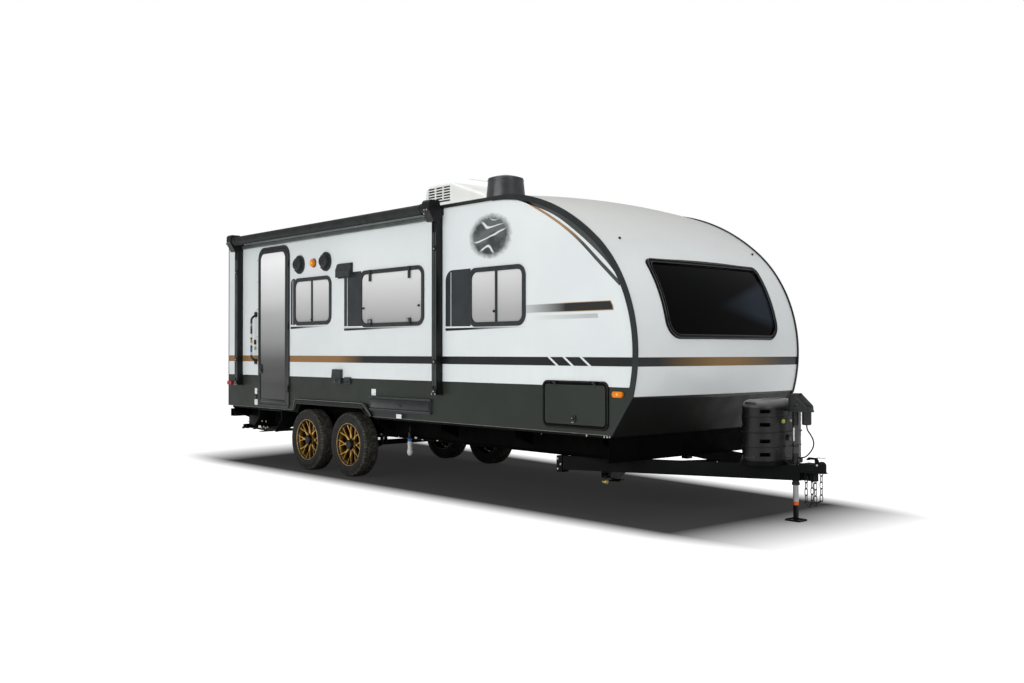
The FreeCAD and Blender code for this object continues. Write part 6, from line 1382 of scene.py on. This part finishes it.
# Coupler and chains: a pressed ball socket with a latch, black like the frame, and two dark
# steel safety chains that hang from eyes under it. The bolts and the latch bar are plated.
dress(chassis_paint, "frame_black", "coupler")
chain_steel = made_finish("chain_steel", shade(22, 22, 22), shade(46, 45, 43), (0.32, 0.46), metal=0.4, patch=40.0,
                          grain=700.0, depth=0.0003)
form = bmesh.new()
form.from_mesh(solids["safety_chains"].data)
bmesh.ops.remove_doubles(form, verts=form.verts, dist=1e-5)
chains = sealed("chain_links", form, chain_steel, 60.0)
rounding = chains.modifiers.new("rounding", "SUBSURF")
rounding.levels = 1
rounding.render_levels = 1
fitted(chains, "caravan")
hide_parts("safety_chains")
coupler_bolts = [(Vector((along, across, 0.4865)), Vector((0, 0, 1))) for across in (-0.0335, 0.0335)
                 for along in (0.020, 0.058)]
set_parts("coupler_bolts", bolt_head, coupler_bolts, zinc, 0.8)
built("coupler_latch_parts", [
    (slab, (0.210, -0.011, 0.556), (0.288, 0.011, 0.563), 0.002, 2),
    (lathe, [(0, 0), (0.010, 0), (0.010, 0.006), (0.006, 0.010), (0, 0.010)], 16, "-Y", (0.236, -0.0420, 0.500)),
], zinc, "caravan")


# Under the floor: a white drain pipe with a blue collar and an orange label, plated clamps on
# the brake line beside it, plates at the rails' ends and brass nuts on the front stabilisers.
pipe_white = made_finish("pipe_white", shade(196, 198, 198), shade(216, 217, 216), (0.35, 0.5), coat=0.1,
                         patch=20.0, grain=700.0, depth=0.0003)
pipe_level = axis_of(pipe_white, "Z")
over(pipe_white, sums(pipe_white, "GREATER_THAN", pipe_level, 0.457), shade(52, 96, 176))
over(pipe_white, sums(pipe_white, "GREATER_THAN", pipe_level, 0.490), shade(20, 20, 20))
label_share = sums(pipe_white, "MULTIPLY", between(pipe_white, pipe_level, 0.365, 0.452),
                   sums(pipe_white, "LESS_THAN", axis_of(pipe_white, "X"), -4.388))
over(pipe_white, label_share, shade(188, 96, 50))
built("drain_pipe", [
    (lathe, [(0.0, 0.304), (0.022, 0.304), (0.022, 0.312), (0.031, 0.322), (0.031, 0.352), (0.0285, 0.358),
     (0.0285, 0.412), (0.0305, 0.418), (0.0305, 0.446), (0.0270, 0.452), (0.0235, 0.462), (0.0235, 0.478),
     (0.0270, 0.482), (0.0270, 0.496), (0.0200, 0.502), (0.0200, 0.560), (0.0, 0.560)], 32, "Z", (-4.39, -0.915, 0)),
], pipe_white, "caravan")
built("drain_bracket", [
    (slab, (-4.412, -0.932, 0.552), (-4.368, -0.900, 0.560), 0.002, 2),
    (slab, (-4.405, -0.9160, 0.556), (-4.375, -0.9068, 0.640), 0.002, 2),
], chassis_paint, "caravan")
brake_line = smooth_line([(-5.02, -0.906, 0.498), (-4.80, -0.914, 0.494), (-4.55, -0.912, 0.4925),
                          (-4.32, -0.914, 0.494), (-4.05, -0.912, 0.491), (-3.80, -0.905, 0.499)], 6)
tube("brake_line", brake_line, 0.006, chassis_paint, "caravan")
form = bmesh.new()
for along, low, size in ((-4.95, 0.494, 0.020), (-4.60, 0.490, 0.012), (-4.27, 0.496, 0.022), (-4.15, 0.486, 0.014),
                         (-3.88, 0.494, 0.012)):
    slab(form, (along - size, -0.9240, low), (along + size, -0.9070, low + size * 0.9), 0.002, 2)
fitted(sealed("line_clamps", form, zinc, 35.0), "caravan")
form = bmesh.new()
rail_bolts = []
for side in (-1, 1):
    slab(form, (-1.975, side * 0.880, 0.330), (-1.900, side * 0.972, 0.4845), 0.004, 2)
    slab(form, (-7.800, side * 1.060, 0.478), (-7.470, side * 1.110, 0.610), 0.004, 2)
    rail_bolts += outward(side, 0.9722, ((-1.955, 0.455), (-1.955, 0.360), (-1.918, 0.405)))
    rail_bolts += outward(side, 1.1515, ((-1.185, 0.716), (-1.150, 0.716), (-1.120, 0.720), (-1.40, 0.716)))
fitted(sealed("rail_end_plates", form, chassis_paint, 35.0), "caravan")
set_parts("rail_bolts", bolt_head, rail_bolts, zinc, 0.6)
brass = made_finish("brass_nut", shade(176, 160, 86), shade(200, 184, 110), (0.3, 0.45), metal=0.7, patch=50.0,
                    grain=700.0)
nut_line = [(0, -0.030), (0.011, -0.030), (0.011, 0.006), (0.021, 0.006), (0.021, 0.022), (0.012, 0.026), (0, 0.026)]
built("stabiliser_nuts", [(lathe, nut_line, 24, "X", (-1.446, across, 0.272)) for across in (-0.864, 0.864)],
      brass, "caravan")


# The set: a white floor with the caravan's shadow painted on it, a broad soft lamp overhead
# and two large soft panels. The camera stands off the near front corner at head height.
form = bmesh.new()
bmesh.ops.create_grid(form, x_segments=1, y_segments=1, size=60.0)
floor_paint = bpy.data.materials.new("set_floor")
floor_paint.use_nodes = True
face = floor_paint.node_tree.nodes["Principled BSDF"]
face.inputs["Roughness"].default_value = 0.95
face.inputs["Specular IOR Level"].default_value = 0.0
along = axis_of(floor_paint, "X")
across = axis_of(floor_paint, "Y")
# Painted shadow: a soft patch under the body, skewed to the far side and rear, darkens the floor.
behind_edge = sums(floor_paint, "ADD", along, sums(floor_paint, "MULTIPLY", across, 0.25))
behind_share = ramp(floor_paint, behind_edge, -9.9, -8.2)
ahead_share = ramp(floor_paint, along, 1.15, -0.35)
near_share = ramp(floor_paint, across, -1.78, -1.30)
far_edge = sums(floor_paint, "ADD", across, sums(floor_paint, "MULTIPLY", along, 0.12))
far_share = ramp(floor_paint, far_edge, 1.51, 1.03)
under = sums(floor_paint, "MULTIPLY", sums(floor_paint, "MULTIPLY", behind_share, ahead_share),
             sums(floor_paint, "MULTIPLY", near_share, far_share))
floor_tone, shadow_tone = (0.93, 0.93, 0.93, 1), (0.035, 0.035, 0.036, 1)
floor_paint.node_tree.links.new(mixed(floor_paint, under, floor_tone, shadow_tone), face.inputs["Base Color"])
rays = linked(floor_paint, "ShaderNodeLightPath")
seen = sums(floor_paint, "MAXIMUM", rays.outputs["Is Camera Ray"], rays.outputs["Is Transmission Ray"])
seen = sums(floor_paint, "MAXIMUM", seen, rays.outputs["Is Glossy Ray"])
shine = sums(floor_paint, "MULTIPLY", seen, ramp(floor_paint, under, 0.0, 1.0, 0.62, 0.022))
face.inputs["Emission Color"].default_value = (1, 1, 1, 1)
floor_paint.node_tree.links.new(shine, face.inputs["Emission Strength"])
ground = sealed("set_floor", form, floor_paint, 0)

world = bpy.data.worlds.new("set_light")
scene.world = world
world.use_nodes = True
sky = world.node_tree.nodes["Background"]
rays = linked(world, "ShaderNodeLightPath")
seen = sums(world, "MAXIMUM", rays.outputs["Is Camera Ray"], rays.outputs["Is Transmission Ray"])
world.node_tree.links.new(ramp(world, seen, 0.0, 1.0, 0.42, 1.0), sky.inputs["Strength"])
sky.inputs["Color"].default_value = (1, 1, 1, 1)


def soft_lamp(name, spot, aim, width, depth, watts):
    """A large soft lamp at one place, turned to another."""
    data = bpy.data.lights.new(name, "AREA")
    data.shape = "RECTANGLE"
    data.size = width
    data.size_y = depth
    data.energy = watts
    lamp = bpy.data.objects.new(name, data)
    scene.collection.objects.link(lamp)
    lamp.location = spot
    lamp.rotation_euler = (Vector(aim) - Vector(spot)).to_track_quat("-Z", "Y").to_euler()


soft_lamp("overhead", (-4.0, 0.0, 9.0), (-4.0, 0.0, 0.0), 12.0, 6.0, 420)
soft_lamp("near_side", (-3.0, -13.0, 5.0), (-4.0, 0.0, 1.4), 12.0, 5.0, 665)
soft_lamp("front", (11.0, -3.0, 4.0), (-1.5, 0.0, 1.4), 6.0, 5.0, 330)

focal_pixels, picture_pixels = 1044.45, 1024
camera_data = bpy.data.cameras.new("camera")
camera_data.sensor_width = 36.0
camera_data.lens = focal_pixels / picture_pixels * camera_data.sensor_width
camera_data.clip_end = 500.0
camera = bpy.data.objects.new("camera", camera_data)
scene.collection.objects.link(camera)
camera.location = (5.128, -7.862, 1.461)
camera.rotation_euler = (math.pi / 2 + 0.010, 0.0, 0.843)
scene.camera = camera
scene.view_settings.view_transform = "Standard"

for used in (bolt_head, knob_ring, pull_part, brow_part, screw_part, foot_screw):
    bpy.data.objects.remove(used)
